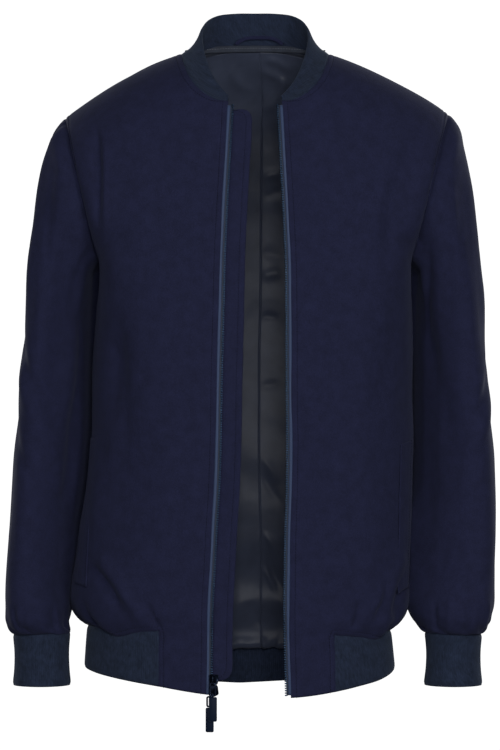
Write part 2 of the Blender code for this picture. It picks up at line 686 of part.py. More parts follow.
# ---------------------------------------------------------------- sleeves and cuffs
def armhole_ring(side):
    """The armhole as on the wearer's left, from the underarm up the front, over the shoulder and down the
    back, with the panels' own points but the closest ones, and points halfway along its longer steps."""
    front = list(neck_levels(FRONT_NECK_LEVEL, FRONT_NECK_ROWS)) + FRONT_LEVELS
    back = list(neck_levels(BACK_NECK_LEVEL, BACK_NECK_ROWS)) + BACK_LEVELS
    levels = np.array(front[::-1] + [-level for level in back[1:]])
    corners = spline([r.level for r in YOKE], [(r.side_x, r.side_y, r.side_z) for r in YOKE], levels)
    corners = corners + SEAM * np.array(ARMHOLE_NORMAL)
    corners = lifted(corners) if side > 0 else corners
    ring = [corners[0]]
    for b in corners[1:]:
        step = np.linalg.norm(b - ring[-1])
        if step > SLEEVE_LONGEST:
            ring.append((ring[-1] + b) / 2)
        if step > SLEEVE_SHORTEST:
            ring.append(b)
    return np.array(ring)


def sleeve_ring(row, shares, side):
    """A ring of the sleeve: from the side next to the body round the front to the outer side and back."""
    lean_in = float(column(LEAN, "z", "shift", row.in_z)) * row.in_lean * side
    lean_out = float(column(LEAN, "z", "shift", row.out_z)) * row.out_lean * side
    near = np.array([row.in_x + lean_in, row.in_y, row.in_z])
    far = np.array([row.out_x + lean_out, row.out_y, row.out_z])
    turn = np.linspace(0.0, 2 * math.pi, 4 * FINE + 1)
    c, s = np.cos(turn), np.sin(turn)
    c = np.sign(c) * np.abs(c) ** (2 / SLEEVE_SQUARE)
    s = np.sign(s) * np.abs(s) ** (2 / SLEEVE_SQUARE)
    middle, reach = (near + far) / 2, (far - near) / 2
    return along(middle - c[:, None] * reach + s[:, None] * np.array([0, -row.half_y, 0]), shares)


def sleeve_grid(side):
    """Outer points of a sleeve as on the wearer's left; side picks its folds and lean."""
    armhole = armhole_ring(side)
    length = np.concatenate([[0.0], np.cumsum(np.linalg.norm(np.diff(armhole, axis=0), axis=1))])
    shares = length / length[-1]
    rings = [sleeve_ring(row, shares, side) for row in SLEEVE]
    rings = [armhole] + [lifted(ring) if side > 0 else ring for ring in rings]
    grid = spline(np.arange(len(rings)), np.array(rings), SLEEVE_LEVELS)
    grid[0] = armhole
    turn = 360.0 * shares
    middle = grid[:, :-1].mean(axis=1, keepdims=True)
    outward = unit(grid - middle)
    height = np.linalg.norm(grid - grid[-1:], axis=-1)
    levels = np.array(SLEEVE_LEVELS)
    pressed = gathers(CUFF_GATHERS, turn[None, :], height) * (levels > 9)[:, None]
    for fold in SLEEVE_FOLDS:
        if fold.side == side:
            apart = (turn - fold.angle + 180.0) % 360.0 - 180.0
            share = (levels - fold.first) / (fold.last - fold.first)
            fade = smooth_step(share * 3) * smooth_step((1 - share) * 3)
            pressed += fold.depth * bump(apart / fold.spread)[None, :] * fade[:, None]
    return closed_up(grid - outward * pressed[..., None])


def closed_up(grid):
    """A grid whose last column is its first."""
    grid[:, -1] = grid[:, 0]
    return grid


def sleeve_object(name, side, material):
    grid = sleeve_grid(side)
    grid[-1, :, 2] += SEAM / 2
    across = normals_of(grid, closed=True)
    across[0] = flattened(across[0], ARMHOLE_NORMAL)
    across[-1] = flattened(across[-1], (0, 0, 1))
    return cloth_object(name, [tuple(mirrored(p, side) for p in (grid, grid - CLOTH * across))], material)


def cuff_object(name, side, material):
    last = SLEEVE[-1]
    shift = float(column(LEAN, "z", "shift", last.in_z)) * last.in_lean * side
    top = np.array([(last.in_x + last.out_x) / 2 + shift, last.in_y, (last.in_z + last.out_z) / 2])
    turn = np.linspace(0.0, 2 * math.pi, CUFF_COLUMNS + 1)
    rows = []
    for drop in np.linspace(0.0, CUFF[-1].drop, 4):
        half_x, half_y = column(CUFF, "drop", "half_x", drop), column(CUFF, "drop", "half_y", drop)
        tilt = (last.out_z - last.in_z) / 2 * (1 - drop / CUFF[-1].drop)
        ring = np.stack([-np.cos(turn) * half_x, -np.sin(turn) * half_y, -np.cos(turn) * tilt], axis=-1)
        rows.append(top + ring - (0, 0, drop + SEAM / 2))
    grid = closed_up(np.array(rows))
    across = normals_of(grid, closed=True)
    across[0] = flattened(across[0], (0, 0, 1))
    return cloth_object(name, [tuple(mirrored(p, side) for p in (grid, grid - RIB * across))], material)


# ---------------------------------------------------------------- rib hem and collar
def hem_angles(side):
    """Angles of the rib's columns from a tab round to the middle of the back: those of front and back."""
    front = row_angles(1.0, edge_angle(1.0), math.pi / 2, front_shares(), side)[TAB_COLUMNS:]
    back = row_angles(1.0, math.pi, math.pi / 2, np.linspace(0.0, 1.0, BACK_COLUMNS + 1), side)
    return np.concatenate([front, back[::-1][1:]])


def hem_object(material):
    """The rib band from one front's tab round the back to the other's."""
    halves = {}
    for side in (1, -1):
        drops = np.linspace(0.0, 1.0, RIB_ROWS)
        grid = np.array([hem_ring(hem_angles(side), side, drop) for drop in drops])
        grid[:, 0, 0] += SEAM
        halves[side] = grid
    grid = np.concatenate([halves[1], (halves[-1] * (-1, 1, 1))[:, ::-1][:, 1:]], axis=1)
    grid[0, :, 2] -= SEAM / 2
    across = normals_of(grid)
    across[0] = flattened(across[0], (0, 0, 1))
    across[:, 0] = flattened(across[:, 0], (1, 0, 0))
    across[:, -1] = flattened(across[:, -1], (1, 0, 0))
    return cloth_object("hem_rib", [(worn(grid), worn(grid - RIB * across))], material)


def neck_seam():
    """The wearer's left half of the neckline, from back to zip: points and the panels' directions."""
    grid, across = back_half(1, np.linspace(0.0, 1.0, BACK_COLUMNS + 1))
    points, directions = list(grid[:BACK_NECK_ROWS, 0][::-1]), list(across[:BACK_NECK_ROWS, 0][::-1])
    (grid, across), _ = front_patches(1)
    points[-1] = (points[-1] + grid[0, 0]) / 2
    directions[-1] = unit(directions[-1] + across[0, 0])
    points += list(grid[1:FRONT_NECK_ROWS, 0])
    directions += list(across[1:FRONT_NECK_ROWS, 0])
    directions[0] = unit(directions[0] * (0, 1, 1))
    return np.array(points), np.array(directions)


def collar_object(material):
    seam, directions = neck_seam()
    length = np.concatenate([[0.0], np.cumsum(np.linalg.norm(np.diff(seam, axis=0), axis=1))])
    table = np.array(COLLAR_EDGE)
    edge = spline(np.arange(len(table)), table, np.linspace(0, len(table) - 1, FINE))
    edge = along(edge, length / length[-1])
    bend = edge * (0.7, 0.7, 0.25) + seam * (0.3, 0.3, 0.75)
    away = unit(np.cross(np.gradient(seam, axis=0), directions))
    away *= np.sign(np.sum(away * (bend - seam), axis=-1, keepdims=True))
    start = seam + away * SEAM
    t = np.linspace(1.0, 0.0, COLLAR_ROWS)[:, None, None]
    whole = both_halves(start * (1 - t) ** 2 + bend * 2 * t * (1 - t) + edge * t**2)
    across = normals_of(whole)
    away = both_halves(away[None])[0]
    under = np.maximum(0.0, np.sum(across[-1] * away, axis=-1, keepdims=True))
    across[-1] = unit(across[-1] - under * away)
    return cloth_object("collar", [(whole, whole - RIB * across)], material)


def both_halves(half):
    """A row from the wearer's left end over the middle of the back to the right end, from its left half."""
    return np.concatenate([half[:, ::-1], (half * (-1, 1, 1))[:, 1:]], axis=1)


# ---------------------------------------------------------------- lining, zip and pockets
def lining_object(material):
    """The lining inside the back, slack towards the hem, with a pleat down its middle."""
    patches = []
    for side in (1, -1):
        shares = np.linspace(0.0, 1.0, BACK_COLUMNS + 1)
        grid, across = (part[LINING_ROWS][:, LINING_COLUMNS] for part in back_half(side, shares))
        inset = column(LINING_SLACK, "z", "inset", grid[..., 2])
        below = BACK_NECK_ROWS - 1
        inset[below:, 0] += PLEAT_DEPTH * smooth_step((20.0 - grid[below:, 0, 2]) / 30.0)
        grid = grid - inset[..., None] * across
        grid[below:, 0, 0] = side * column(LINING_SLACK, "z", "pleat_x", grid[below:, 0, 2])
        angle = row_angles(1.0, math.pi, math.pi / 2, shares[LINING_COLUMNS], side)
        seam = hem_ring(angle, side, 0.0)
        out = unit(seam * (1, 1, 0))
        rows = [seam - out * roll.inset - (0, 0, roll.drop) for roll in LINING_ROLL]
        for row in rows:
            row[0, 0] = grid[-1, 0, 0]
        rows[0][0, 1] -= PLEAT_DEPTH
        grid = np.concatenate([grid, np.array(rows)])
        facing = unit(-normals_of(grid))
        facing[: len(across)] = across
        facing[:, -1] = flattened(facing[:, -1], (0, 1, 0))
        facing[:, 0] = unit(facing[:, 0] * (0, 1, 1))
        patches.append(tuple(worn(mirrored(p, side)[:, ::-1]) for p in (grid, grid - LINING * facing)))
    return cloth_object("lining_back", patches, material)


ZipEdge = namedtuple("ZipEdge", "z point inward outward")


def zip_edge(side):
    """A front's edge beside the zip as rows of points, with directions into the panel and out of its face."""
    (grid, across), (tab, tab_across) = front_patches(side)
    first = FRONT_NECK_ROWS - 1
    points = np.concatenate([grid[first:, :2], tab[1:, :2]])
    outward = np.concatenate([across[first:, 0], tab_across[1:, 0]])
    inward = unit(points[:, 1] - points[:, 0])
    outward = unit(outward - np.sum(outward * inward, axis=-1, keepdims=True) * inward)
    return ZipEdge(points[:, 0, 2], points[:, 0], inward, outward)


def edge_rows(edge, levels):
    """The edge's points and directions at other heights."""
    order = np.argsort(edge.z)
    read = []
    for part in edge[1:]:
        read.append(np.stack([np.interp(levels, edge.z[order], part[order, k]) for k in range(3)], axis=-1))
    return read[0], unit(read[1]), unit(read[2])


def heights_between(edge, top, bottom, extra=()):
    """Heights of the front's rows between two others, with the ends and any extra ones, from the top down."""
    inside = [z for z in edge.z if bottom + 2.0 < z < top - 2.0]
    return np.array(sorted([top, bottom, *inside, *extra], reverse=True))


def tape_object(name, side, material):
    """A zip tape under a front's edge, with its teeth as a plain bead along the tape's own edge."""
    edge = zip_edge(side)
    point, inward, outward = edge_rows(edge, heights_between(edge, ZIP_TOP_Z, ZIP_BOTTOM_Z))
    face = -(CLOTH + SEAM)
    back = face - TAPE_THICK
    section = [
        (TAPE_HIDDEN, back),
        (TAPE_HIDDEN, face),
        (-TAPE_SHOWN, face),
        (-TAPE_SHOWN, back + TEETH_THICK),
        (-TAPE_SHOWN - TEETH_WIDTH, back + TEETH_THICK),
        (-TAPE_SHOWN - TEETH_WIDTH, back),
    ]
    rings = np.stack([point + inward * s + outward * n for s, n in section], axis=1)
    return swept_object(name, worn(rings * (side, 1, 1)), material)


def guard_object(material):
    """The guard behind the zip on the wearer's right, with rounded corners on its free side."""
    edge = zip_edge(-1)
    corner = np.array([1.0, 4.0, 8.5, GUARD_CORNER])
    extra = [*(GUARD_TOP_Z - corner), *(GUARD_BOTTOM_Z + corner)]
    levels = heights_between(edge, GUARD_TOP_Z, GUARD_BOTTOM_Z, extra)
    point, inward, outward = edge_rows(edge, levels)
    from_end = np.minimum(GUARD_TOP_Z - levels, levels - GUARD_BOTTOM_Z)
    short = np.clip(GUARD_CORNER - from_end, 0.0, GUARD_CORNER)
    reach = GUARD_REACH - GUARD_CORNER + np.sqrt(GUARD_CORNER**2 - short**2)
    columns = []
    for s in (-reach, *(np.full(len(levels), place) for place in GUARD_COLUMNS)):
        set_back = CLOTH + TAPE_THICK + 3 * SEAM + GUARD_BACK * smooth_step((2.0 - s) / 5.0)
        columns.append(point + inward * s[:, None] - outward * set_back[:, None])
    grid = np.stack(columns, axis=1)
    inner = grid - CLOTH * outward[:, None]
    return cloth_object("zip_guard", [tuple(worn(mirrored(p, -1)) for p in (grid, inner))], material)


def welt_object(name, side, material):
    """A pocket's welt: the front's own points moved out."""
    grid, across = front_patches(side)[0]
    first = FRONT_NECK_ROWS + len(FRONT_LEVELS)
    top, bottom = BODY_DROPS.index(WELT_TOP_DROP), BODY_DROPS.index(WELT_BOTTOM_DROP)
    rows = range(first + top, first + bottom + 1)
    welt = next(row for row in WELTS if row.side == side)
    places = np.linspace(welt.top_column, welt.bottom_column, len(rows))[:, None]
    places = places + np.linspace(0, WELT_WIDTH, 4)
    own = np.arange(grid.shape[1])
    base, out = (
        np.array([[[np.interp(place, own, part[row, :, k]) for k in range(3)] for place in line]
                  for row, line in zip(rows, places)])
        for part in (grid, across)
    )
    faces = (base + (WELT_GAP + WELT_THICK) * out, base + WELT_GAP * out)
    return cloth_object(name, [tuple(worn(mirrored(p, side)) for p in faces)], material)


def wire_curve(name, points, radius, closed=False):
    """A round wire through points given in millimetres."""
    curve = bpy.data.curves.new(name, "CURVE")
    curve.dimensions = "3D"
    curve.bevel_depth = radius * MM
    curve.bevel_resolution = 1
    curve.use_fill_caps = not closed
    line = curve.splines.new("POLY")
    line.points.add(len(points) - 1)
    for target, place in zip(line.points, points):
        target.co = (*(np.asarray(place) * MM), 1.0)
    line.use_cyclic_u = closed
    return curve


def loop_object(material):
    """The hanger loop inside the back of the neck."""
    seam, _ = neck_seam()
    x = np.linspace(-LOOP_HALF, LOOP_HALF, 13)
    y = np.interp(np.abs(x + LOOP_MIDDLE), seam[:BACK_NECK_ROWS, 0], seam[:BACK_NECK_ROWS, 1])
    z = seam[0, 2] + 2.0 + LOOP_RISE * (1 - np.abs(x / LOOP_HALF) ** 3.5)
    clear = RIB + LOOP_RADIUS + LOOP_CLEAR + LOOP_LEAN * (z - seam[0, 2])
    points = np.stack([x + LOOP_MIDDLE, y - clear, z], axis=-1)
    wire = wire_curve("hanger_loop", points, LOOP_RADIUS)
    return placed("hanger_loop", wire, material)


# ---------------------------------------------------------------- sliders and pulls
def slider_axes():
    """The teeth's middle at the foot of the wearer's-right zip, and directions across and out of it."""
    point, inward, outward = edge_rows(zip_edge(-1), np.array([UPPER_SLIDER_Z, LOWER_SLIDER_Z]))
    place = point - inward * (TAPE_SHOWN + TEETH_WIDTH / 2)
    place -= outward * (CLOTH + SEAM + TAPE_THICK - TEETH_THICK / 2)
    place = worn(place * (-1, 1, 1)).mean(axis=0)
    across = unit(inward.mean(axis=0) * (1, -1, 0))
    return place, across, np.array([across[1], -across[0], 0.0])


def in_zip(points, height):
    """Points given as (across, out, up) from the teeth's middle, in the garment's frame."""
    place, across, out = slider_axes()
    points = np.asarray(points, float)
    origin = np.array([place[0], place[1], height])
    return origin + points[..., :1] * across + points[..., 1:2] * out + points[..., 2:] * (0, 0, 1)


def slider_middle():
    """How far across the zip a slider's middle lies from the teeth's."""
    return TEETH_WIDTH / 2 + SLIDER_SIDE_GAP + SLIDER_POST


def outline(top_half, end_half, half_height, out):
    """An eight-sided plate outline round a slider's middle."""
    middle, cut = slider_middle(), 0.28
    corners = []
    for sign_x, sign_z in ((1, 1), (-1, 1), (-1, -1), (1, -1)):
        half = top_half if sign_z > 0 else end_half
        side = (middle + sign_x * half, out, sign_z * half_height * (1 - cut))
        end = (middle + sign_x * half * (1 - cut), out, sign_z * half_height)
        corners += [side, end] if sign_x * sign_z > 0 else [end, side]
    return corners


def slider_object(name, height, parted_up, bail, material):
    """Two plates joined by a post beside the teeth, with a wire bail joined to the front plate."""
    half = SLIDER_HEIGHT / 2
    ends = (SLIDER_TOP_HALF, SLIDER_END_HALF) if parted_up else (SLIDER_END_HALF, SLIDER_TOP_HALF)
    near = SLIDER_CHANNEL / 2
    far = near + SLIDER_PLATE
    plate, post = (*ends, half), (SLIDER_POST, SLIDER_POST, half * 0.8)
    back = [(*plate, -far), (*plate, -near), (*post, -near)]
    front = [(*post, near), (*plate, near), (*plate, far)]
    obj = swept_object(name, [in_zip(outline(*shape), height) for shape in back + front], material)
    joined(obj, bail)
    return obj


def joined(obj, other):
    """Join another mesh object to one and put the other away."""
    other.hide_render = True
    other.display_type = "WIRE"
    union = obj.modifiers.new("join", "BOOLEAN")
    union.operation = "UNION"
    union.solver = "EXACT"
    union.object = other


def wire_mesh(name, points, radius, material, closed=False):
    """A round wire as a mesh object."""
    guide = bpy.data.objects.new(name + "_guide", wire_curve(name + "_guide", points, radius, closed))
    mesh = bpy.data.meshes.new_from_object(guide)
    bpy.data.objects.remove(guide)
    mesh.name = name
    return placed(name, mesh, material)


def arc(middle, radius, start, stop, count):
    """Points of an arc in the plane across the hinge line: (across, out, up)."""
    across, out, up = middle
    turn = np.radians(np.linspace(start, stop, count))
    return [(across, out + radius * math.cos(t), up + radius * math.sin(t)) for t in turn]


def upper_hinge():
    """The upper pull's hinge point as (across, out, up) from the teeth's middle and the slider's height."""
    plate = SLIDER_CHANNEL / 2 + SLIDER_PLATE
    out = plate + UPPER_BAIL_OUT - BAIL_WIRE - PULL_PLAY - PULL_WIRE
    return np.array([slider_middle(), out, -SLIDER_HEIGHT / 2 + 2 * BAIL_WIRE + PULL_PLAY + PULL_WIRE])


def upper_bail(material):
    """A staple-shaped wire that stands off the front plate."""
    plate = SLIDER_CHANNEL / 2 + SLIDER_PLATE
    high, low, turn = SLIDER_HEIGHT / 2 - 1.4, -SLIDER_HEIGHT / 2 + BAIL_WIRE, 1.4
    across, out = slider_middle(), plate + UPPER_BAIL_OUT
    points = [(across, plate - 0.5, high)]
    points += arc((across, out - turn, high - turn), turn, 90.0, 0.0, 4)
    points += arc((across, out - turn, low + turn), turn, 0.0, -90.0, 4)
    points += [(across, plate - 0.5, low)]
    return wire_mesh("bail_upper", in_zip(points, UPPER_SLIDER_Z), BAIL_WIRE, material)


def lower_eye():
    """The middle of the lower bail's ring as (across, out, up)."""
    out = SLIDER_CHANNEL / 2 + SLIDER_PLATE / 2
    return np.array([slider_middle() - LOWER_BAIL_ASIDE, out, -SLIDER_HEIGHT / 2 - 1.1])


def lower_hinge():
    play = LOWER_BAIL_RADIUS - BAIL_WIRE - PULL_WIRE - PULL_PLAY
    return lower_eye() - (0, 0, play)


def lower_bail(material):
    """A ring on the foot of the front plate."""
    points = arc(lower_eye(), LOWER_BAIL_RADIUS, 0.0, 337.5, 16)
    return wire_mesh("bail_lower", in_zip(points, LOWER_SLIDER_Z), BAIL_WIRE, material, closed=True)


def pull_objects(label, height, hinge, drop, metal, rubber):
    """The ring that swings on a bail and the coated grip that hangs from it; origins on the hinge line."""
    across, out, up = hinge
    length = drop - EYE_RADIUS
    round_by = 1.4
    corners = ((1, 0, 0.0), (-1, 0, 90.0), (-1, 1, 180.0), (1, 1, 270.0))
    ring = []
    for sign, foot, start in corners:
        x = across + sign * (PULL_RING_HALF - round_by)
        z = up - foot * length + (round_by if foot else -round_by)
        for t in np.radians(np.linspace(start, start + 90.0, 4)):
            ring.append((x + round_by * math.cos(t), out, z + round_by * math.sin(t)))
    link = wire_mesh("pull_link_" + label, in_zip(ring, height), PULL_WIRE, metal, closed=True)
    top = up - drop
    grip = grip_mesh("pull_grip_" + label, (across, out, top - GRIP_LENGTH / 2), height, rubber)
    eye_points = arc((across, out, up - length), EYE_RADIUS, 0.0, 337.5, 16)
    eye = wire_mesh("eye_" + label, in_zip(eye_points, height), EYE_WIRE, rubber, closed=True)
    joined(grip, eye)
    origin = mathutils.Vector(in_zip(hinge, height) * MM)
    for obj in (link, grip, eye):
        obj.data.transform(mathutils.Matrix.Translation(-origin))
        obj.location = origin


def grip_mesh(name, middle, height, material):
    """A rounded bar."""
    half = np.array([GRIP_WIDTH, GRIP_THICK, GRIP_LENGTH]) / 2
    rings = []
    for inset, z in ((GRIP_ROUND, 1.0), (0.35, 1.0 - 0.35 / half[2]), (0.0, 1.0 - GRIP_ROUND / half[2])):
        rings.append((inset, z))
    rings += [(inset, -z) for inset, z in rings[::-1]]
    sections = []
    for inset, z in rings:
        section = []
        for sign_x, sign_y in ((1, 1), (-1, 1), (-1, -1), (1, -1)):
            wide, thick = half[0] - inset, half[1] - inset
            cut = 0.35 * thick
            first = (sign_x * wide, sign_y * (thick - cut))
            second = (sign_x * (wide - cut), sign_y * thick)
            section += [first, second] if sign_x * sign_y > 0 else [second, first]
        sections.append([in_zip(np.array(middle) + (x, y, z * half[2]), height) for x, y in section])
    return swept_object(name, sections, material)


# ---------------------------------------------------------------- the model
def material(name, colour, roughness, metallic=0.0):
    made = bpy.data.materials.new(name)
    made.use_nodes = True
    shader = made.node_tree.nodes["Principled BSDF"]
    shader.inputs["Base Color"].default_value = (*colour, 1.0)
    shader.inputs["Roughness"].default_value = roughness
    shader.inputs["Metallic"].default_value = metallic
    made.diffuse_color = (*colour, 1.0)
    return made


def main():
    for obj in list(bpy.data.objects):
        bpy.data.objects.remove(obj)
    collection = bpy.data.collections.new(GARMENT)
    bpy.context.scene.collection.children.link(collection)
    cloth = material("navy_wool_cloth", (0.013, 0.015, 0.036), 0.85)
    rib = material("rib_knit", (0.014, 0.021, 0.040), 0.9)
    lining = material("satin_lining", (0.020, 0.023, 0.033), 0.35)
    tape = material("zip_tape", (0.040, 0.055, 0.090), 0.8)
    metal = material("dark_plated_metal", (0.10, 0.11, 0.13), 0.35, 1.0)
    rubber = material("coated_grip", (0.012, 0.015, 0.025), 0.45)
    front_object("front_left", 1, cloth)
    front_object("front_right", -1, cloth)
    back_object(cloth)
    sleeve_object("sleeve_left", 1, cloth)
    sleeve_object("sleeve_right", -1, cloth)
    cuff_object("cuff_left", 1, rib)
    cuff_object("cuff_right", -1, rib)
    hem_object(rib)
    collar_object(rib)
    lining_object(lining)
    tape_object("zip_tape_left", 1, tape)
    tape_object("zip_tape_right", -1, tape)
    guard_object(cloth)
    welt_object("pocket_welt_left", 1, cloth)
    welt_object("pocket_welt_right", -1, cloth)
    loop_object(cloth)
    slider_object("slider_upper", UPPER_SLIDER_Z, True, upper_bail(metal), metal)
    slider_object("slider_lower", LOWER_SLIDER_Z, False, lower_bail(metal), metal)
    pull_objects("upper", UPPER_SLIDER_Z, upper_hinge(), UPPER_GRIP_DROP, metal, rubber)
    pull_objects("lower", LOWER_SLIDER_Z, lower_hinge(), LOWER_GRIP_DROP, metal, rubber)


main()
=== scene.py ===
"""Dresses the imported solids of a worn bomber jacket: brushed navy cloth, heather rib knit, satin lining,
metal zips, stitching, and the stage it is looked at on.

Lengths in tables are in millimetres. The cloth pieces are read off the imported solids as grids, made finer
along smooth curves, and given their creases, seams and knit as relief on those grids.
"""

import math
from collections import namedtuple

import bmesh
import bpy
import numpy as np
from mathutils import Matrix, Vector
from mathutils.bvhtree import BVHTree


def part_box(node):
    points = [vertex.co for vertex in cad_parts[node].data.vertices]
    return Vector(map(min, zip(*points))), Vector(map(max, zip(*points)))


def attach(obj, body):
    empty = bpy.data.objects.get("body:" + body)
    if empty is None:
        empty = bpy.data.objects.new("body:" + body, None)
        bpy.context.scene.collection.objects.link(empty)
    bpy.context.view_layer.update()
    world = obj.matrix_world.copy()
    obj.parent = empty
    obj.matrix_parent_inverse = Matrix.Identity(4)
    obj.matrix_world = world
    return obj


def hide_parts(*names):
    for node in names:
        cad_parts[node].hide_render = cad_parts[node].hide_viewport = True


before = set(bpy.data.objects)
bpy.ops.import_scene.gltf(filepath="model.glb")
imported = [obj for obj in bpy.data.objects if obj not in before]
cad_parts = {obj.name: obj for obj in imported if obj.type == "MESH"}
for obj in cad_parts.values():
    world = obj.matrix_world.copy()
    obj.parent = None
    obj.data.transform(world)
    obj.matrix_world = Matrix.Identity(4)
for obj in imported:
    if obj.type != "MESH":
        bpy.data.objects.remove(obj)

bl_info = {
    "name": "Bomber Jacket Dresser",
    "version": (1, 0, 0),
    "blender": (4, 5, 0),
    "location": "View3D > Sidebar > Jacket",
    "description": "Dresses the solids of a bomber jacket in cloth, knit, satin and metal",
    "category": "Object",
}

MM = 0.001
BODY = "jacket"
UP = np.array([0.0, 0.0, 1.0])

# ---------------------------------------------------------------- places on the garment
SHOULDER_NECK = (85.0, 0.0, 14.0)       # where shoulder and collar seams meet, on the wearer's left
SHOULDER_END = (218.0, 6.0, -75.0)      # where shoulder and armhole seams meet
UNDERARM = (176.0, 0.0, -245.0)
TAB_CORNER = (97.0, -118.0, -662.0)     # top corner of the rib beside the tab
TAB_BESIDE = (-13.0, 0.0, 0.0)          # from it to the right tab's corner, which lies further out
COLLAR_TIP = (31.5, -93.0, -55.5)
GUARD_CORNERS = ((-39.4, -95.6, -74.2), (-16.5, -94.7, -71.4),
                 (-62.9, -121.4, -710.1), (-39.8, -123.0, -712.3))
SLEEVE_RADIUS = 58.0                    # on which turns round a sleeve are measured
ARMHOLE_STITCH_END = -133.0             # height where the stitching beside the armhole ends

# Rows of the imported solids' grids that hold a panel's corner.
FRONT_NECK_ROW, FRONT_UNDERARM_ROW = 7, 14
BACK_NECK_ROW, BACK_UNDERARM_ROW = 5, 12
LINING_NECK_ROW, LINING_UNDERARM_ROW = 5, 11

# ---------------------------------------------------------------- thicknesses and sewing
CLOTH_WALL = 2.0
RIB_WALL = 3.2
LINING_WALL = 1.2
WELT_WALL = 1.6
NECK_TAPE_WALL = 0.8
ZIP_TAPE_WALL = 0.9
EDGE_STITCH = 6.5        # from an edge to the line stitched beside it
GUARD_STITCH = 6.8
WELT_STITCH = 2.6
STITCH_LIFT = 0.12       # of a thread's middle off the cloth
SEWN = 4.5               # allowance turned under the neighbouring piece
COLLAR_SEWN = 1.4
TUCK = 2.2               # how far under the neighbour's face the allowance lies

# Half widths of the grooves that seams and stitching press into the cloth.
SEAM_GROOVE, BACK_SEAM_GROOVE, STITCH_GROOVE = 1.6, 2.6, 0.7

# Each piece's soft waves: about how far apart, how high, and the seed they are drawn from.
SWELLS = {
    "front": (95.0, 0.35, 11),
    "back": (110.0, 0.5, 31),
    "sleeve": (80.0, 0.5, 51),
    "rib": (65.0, 0.3, 71),
    "lining": (46.0, 0.4, 91),
    "gathers": (7.0, 1.0, 17),
    "strip": (60.0, 0.25, 5),
    "neck tape": (25.0, 0.25, 3),
}
SWELL_WAVES = 10

# ---------------------------------------------------------------- mesh cells
# Distances at which there are mesh lines: from a panel's seam or edge, a tube's end, a front's shoulder seam
# and the lining's pleat.
SEAM_PLACES = (0.0, 0.6, 1.4, 2.8, 4.4, 5.7, 6.2, 6.5, 6.8, 7.3, 8.6)
END_PLACES = (0.7, 1.6, 3.0)
TOP_PLACES = (0.8, 1.8, 3.5)
PLEAT_PLACES = (0.5, 1.0, 1.6, 2.5, 4.0)
# Cells as shares of the cloth setting's cell.
FRONT_DOWN, FRONT_ACROSS, BACK_CELLS, SLEEVE_CELLS = 1.35, 0.9, 1.75, 1.35
LINING_CELL = 2.8
LINING_FINE_TO = 60.0    # from the pleat; beyond it the cells are WIDER times as wide
WIDER = 3.0
RIB_CELL, HEM_CELL, COLLAR_CELL = 3.2, 3.4, 2.4
PER_RIB = 4              # mesh columns to a rib
STRIP_DOWN, STRIP_ACROSS = 3.6, 1.1
GHOSTS = 2               # columns borrowed past a shared column, so that curves run on across it

# ---------------------------------------------------------------- creases as listed
# A row is a crease: its ends (a0, b0) and (a1, b1), how far it bows to one side, its height, which is a
# trough where it is negative, and its half width. On body panels a place is (x, z); on a sleeve it is
# (turn round it, z).
CREASE_DEPTH = 2.2       # times the heights of all but the lining's
FRONT_CREASES = {
    1: [
        (172, -118, 150, -250, -8, -1.6, 9),
        (150, -95, 120, -235, 6, 1.2, 16),
        (118, -60, 92, -250, -6, 0.9, 20),
        (160, -262, 132, -420, 8, -1.4, 14),
        (120, -300, 128, -560, -6, 1, 22),
        (78, -380, 86, -600, 5, -0.8, 24),
        (170, -560, 128, -640, 6, 2.2, 9),
        (148, -596, 136, -652, 3, -2.4, 5),
        (172, -600, 160, -650, -3, -2.6, 5.5),
        (118, -622, 110, -656, 2, -1.6, 4),
    ],
    -1: [
        (-180, -88, -176, -205, 2, -2.2, 4.5),
        (-171, -92, -168, -220, 2, 1.4, 6),
        (-166, -140, -152, -268, -7, 1.6, 12),
        (-140, -80, -128, -270, 6, 0.9, 20),
        (-172, -300, -150, -470, 10, -2.2, 12),
        (-158, -400, -182, -560, -6, 2, 13),
        (-110, -300, -104, -560, 6, 0.9, 24),
        (-188, -585, -150, -640, 5, -3, 6),
        (-176, -575, -140, -615, -5, 2.2, 8),
        (-160, -610, -126, -652, 5, 2, 7),
        (-120, -628, -106, -656, -2, -1.6, 4),
    ],
}
BACK_CREASES = [
    (186, -140, 150, -262, -9, -2.4, 11),
    (-188, -138, -146, -268, 9, -2.2, 12),
    (150, -110, 118, -300, 8, 1.4, 18),
    (-152, -116, -126, -310, -7, 1.5, 17),
    (-90, -60, 70, -84, 10, -1.2, 16),
    (60, -240, 84, -520, -10, 1.4, 26),
    (-40, -300, -66, -600, 9, -1.4, 26),
    (130, -470, 150, -640, 6, 2, 14),
    (-136, -440, -120, -640, -8, 2, 16),
    (30, -560, 16, -655, 4, -2, 10),
    (-86, -590, -74, -656, -3, -2, 7),
    (96, -600, 84, -656, 3, 2, 7),
]
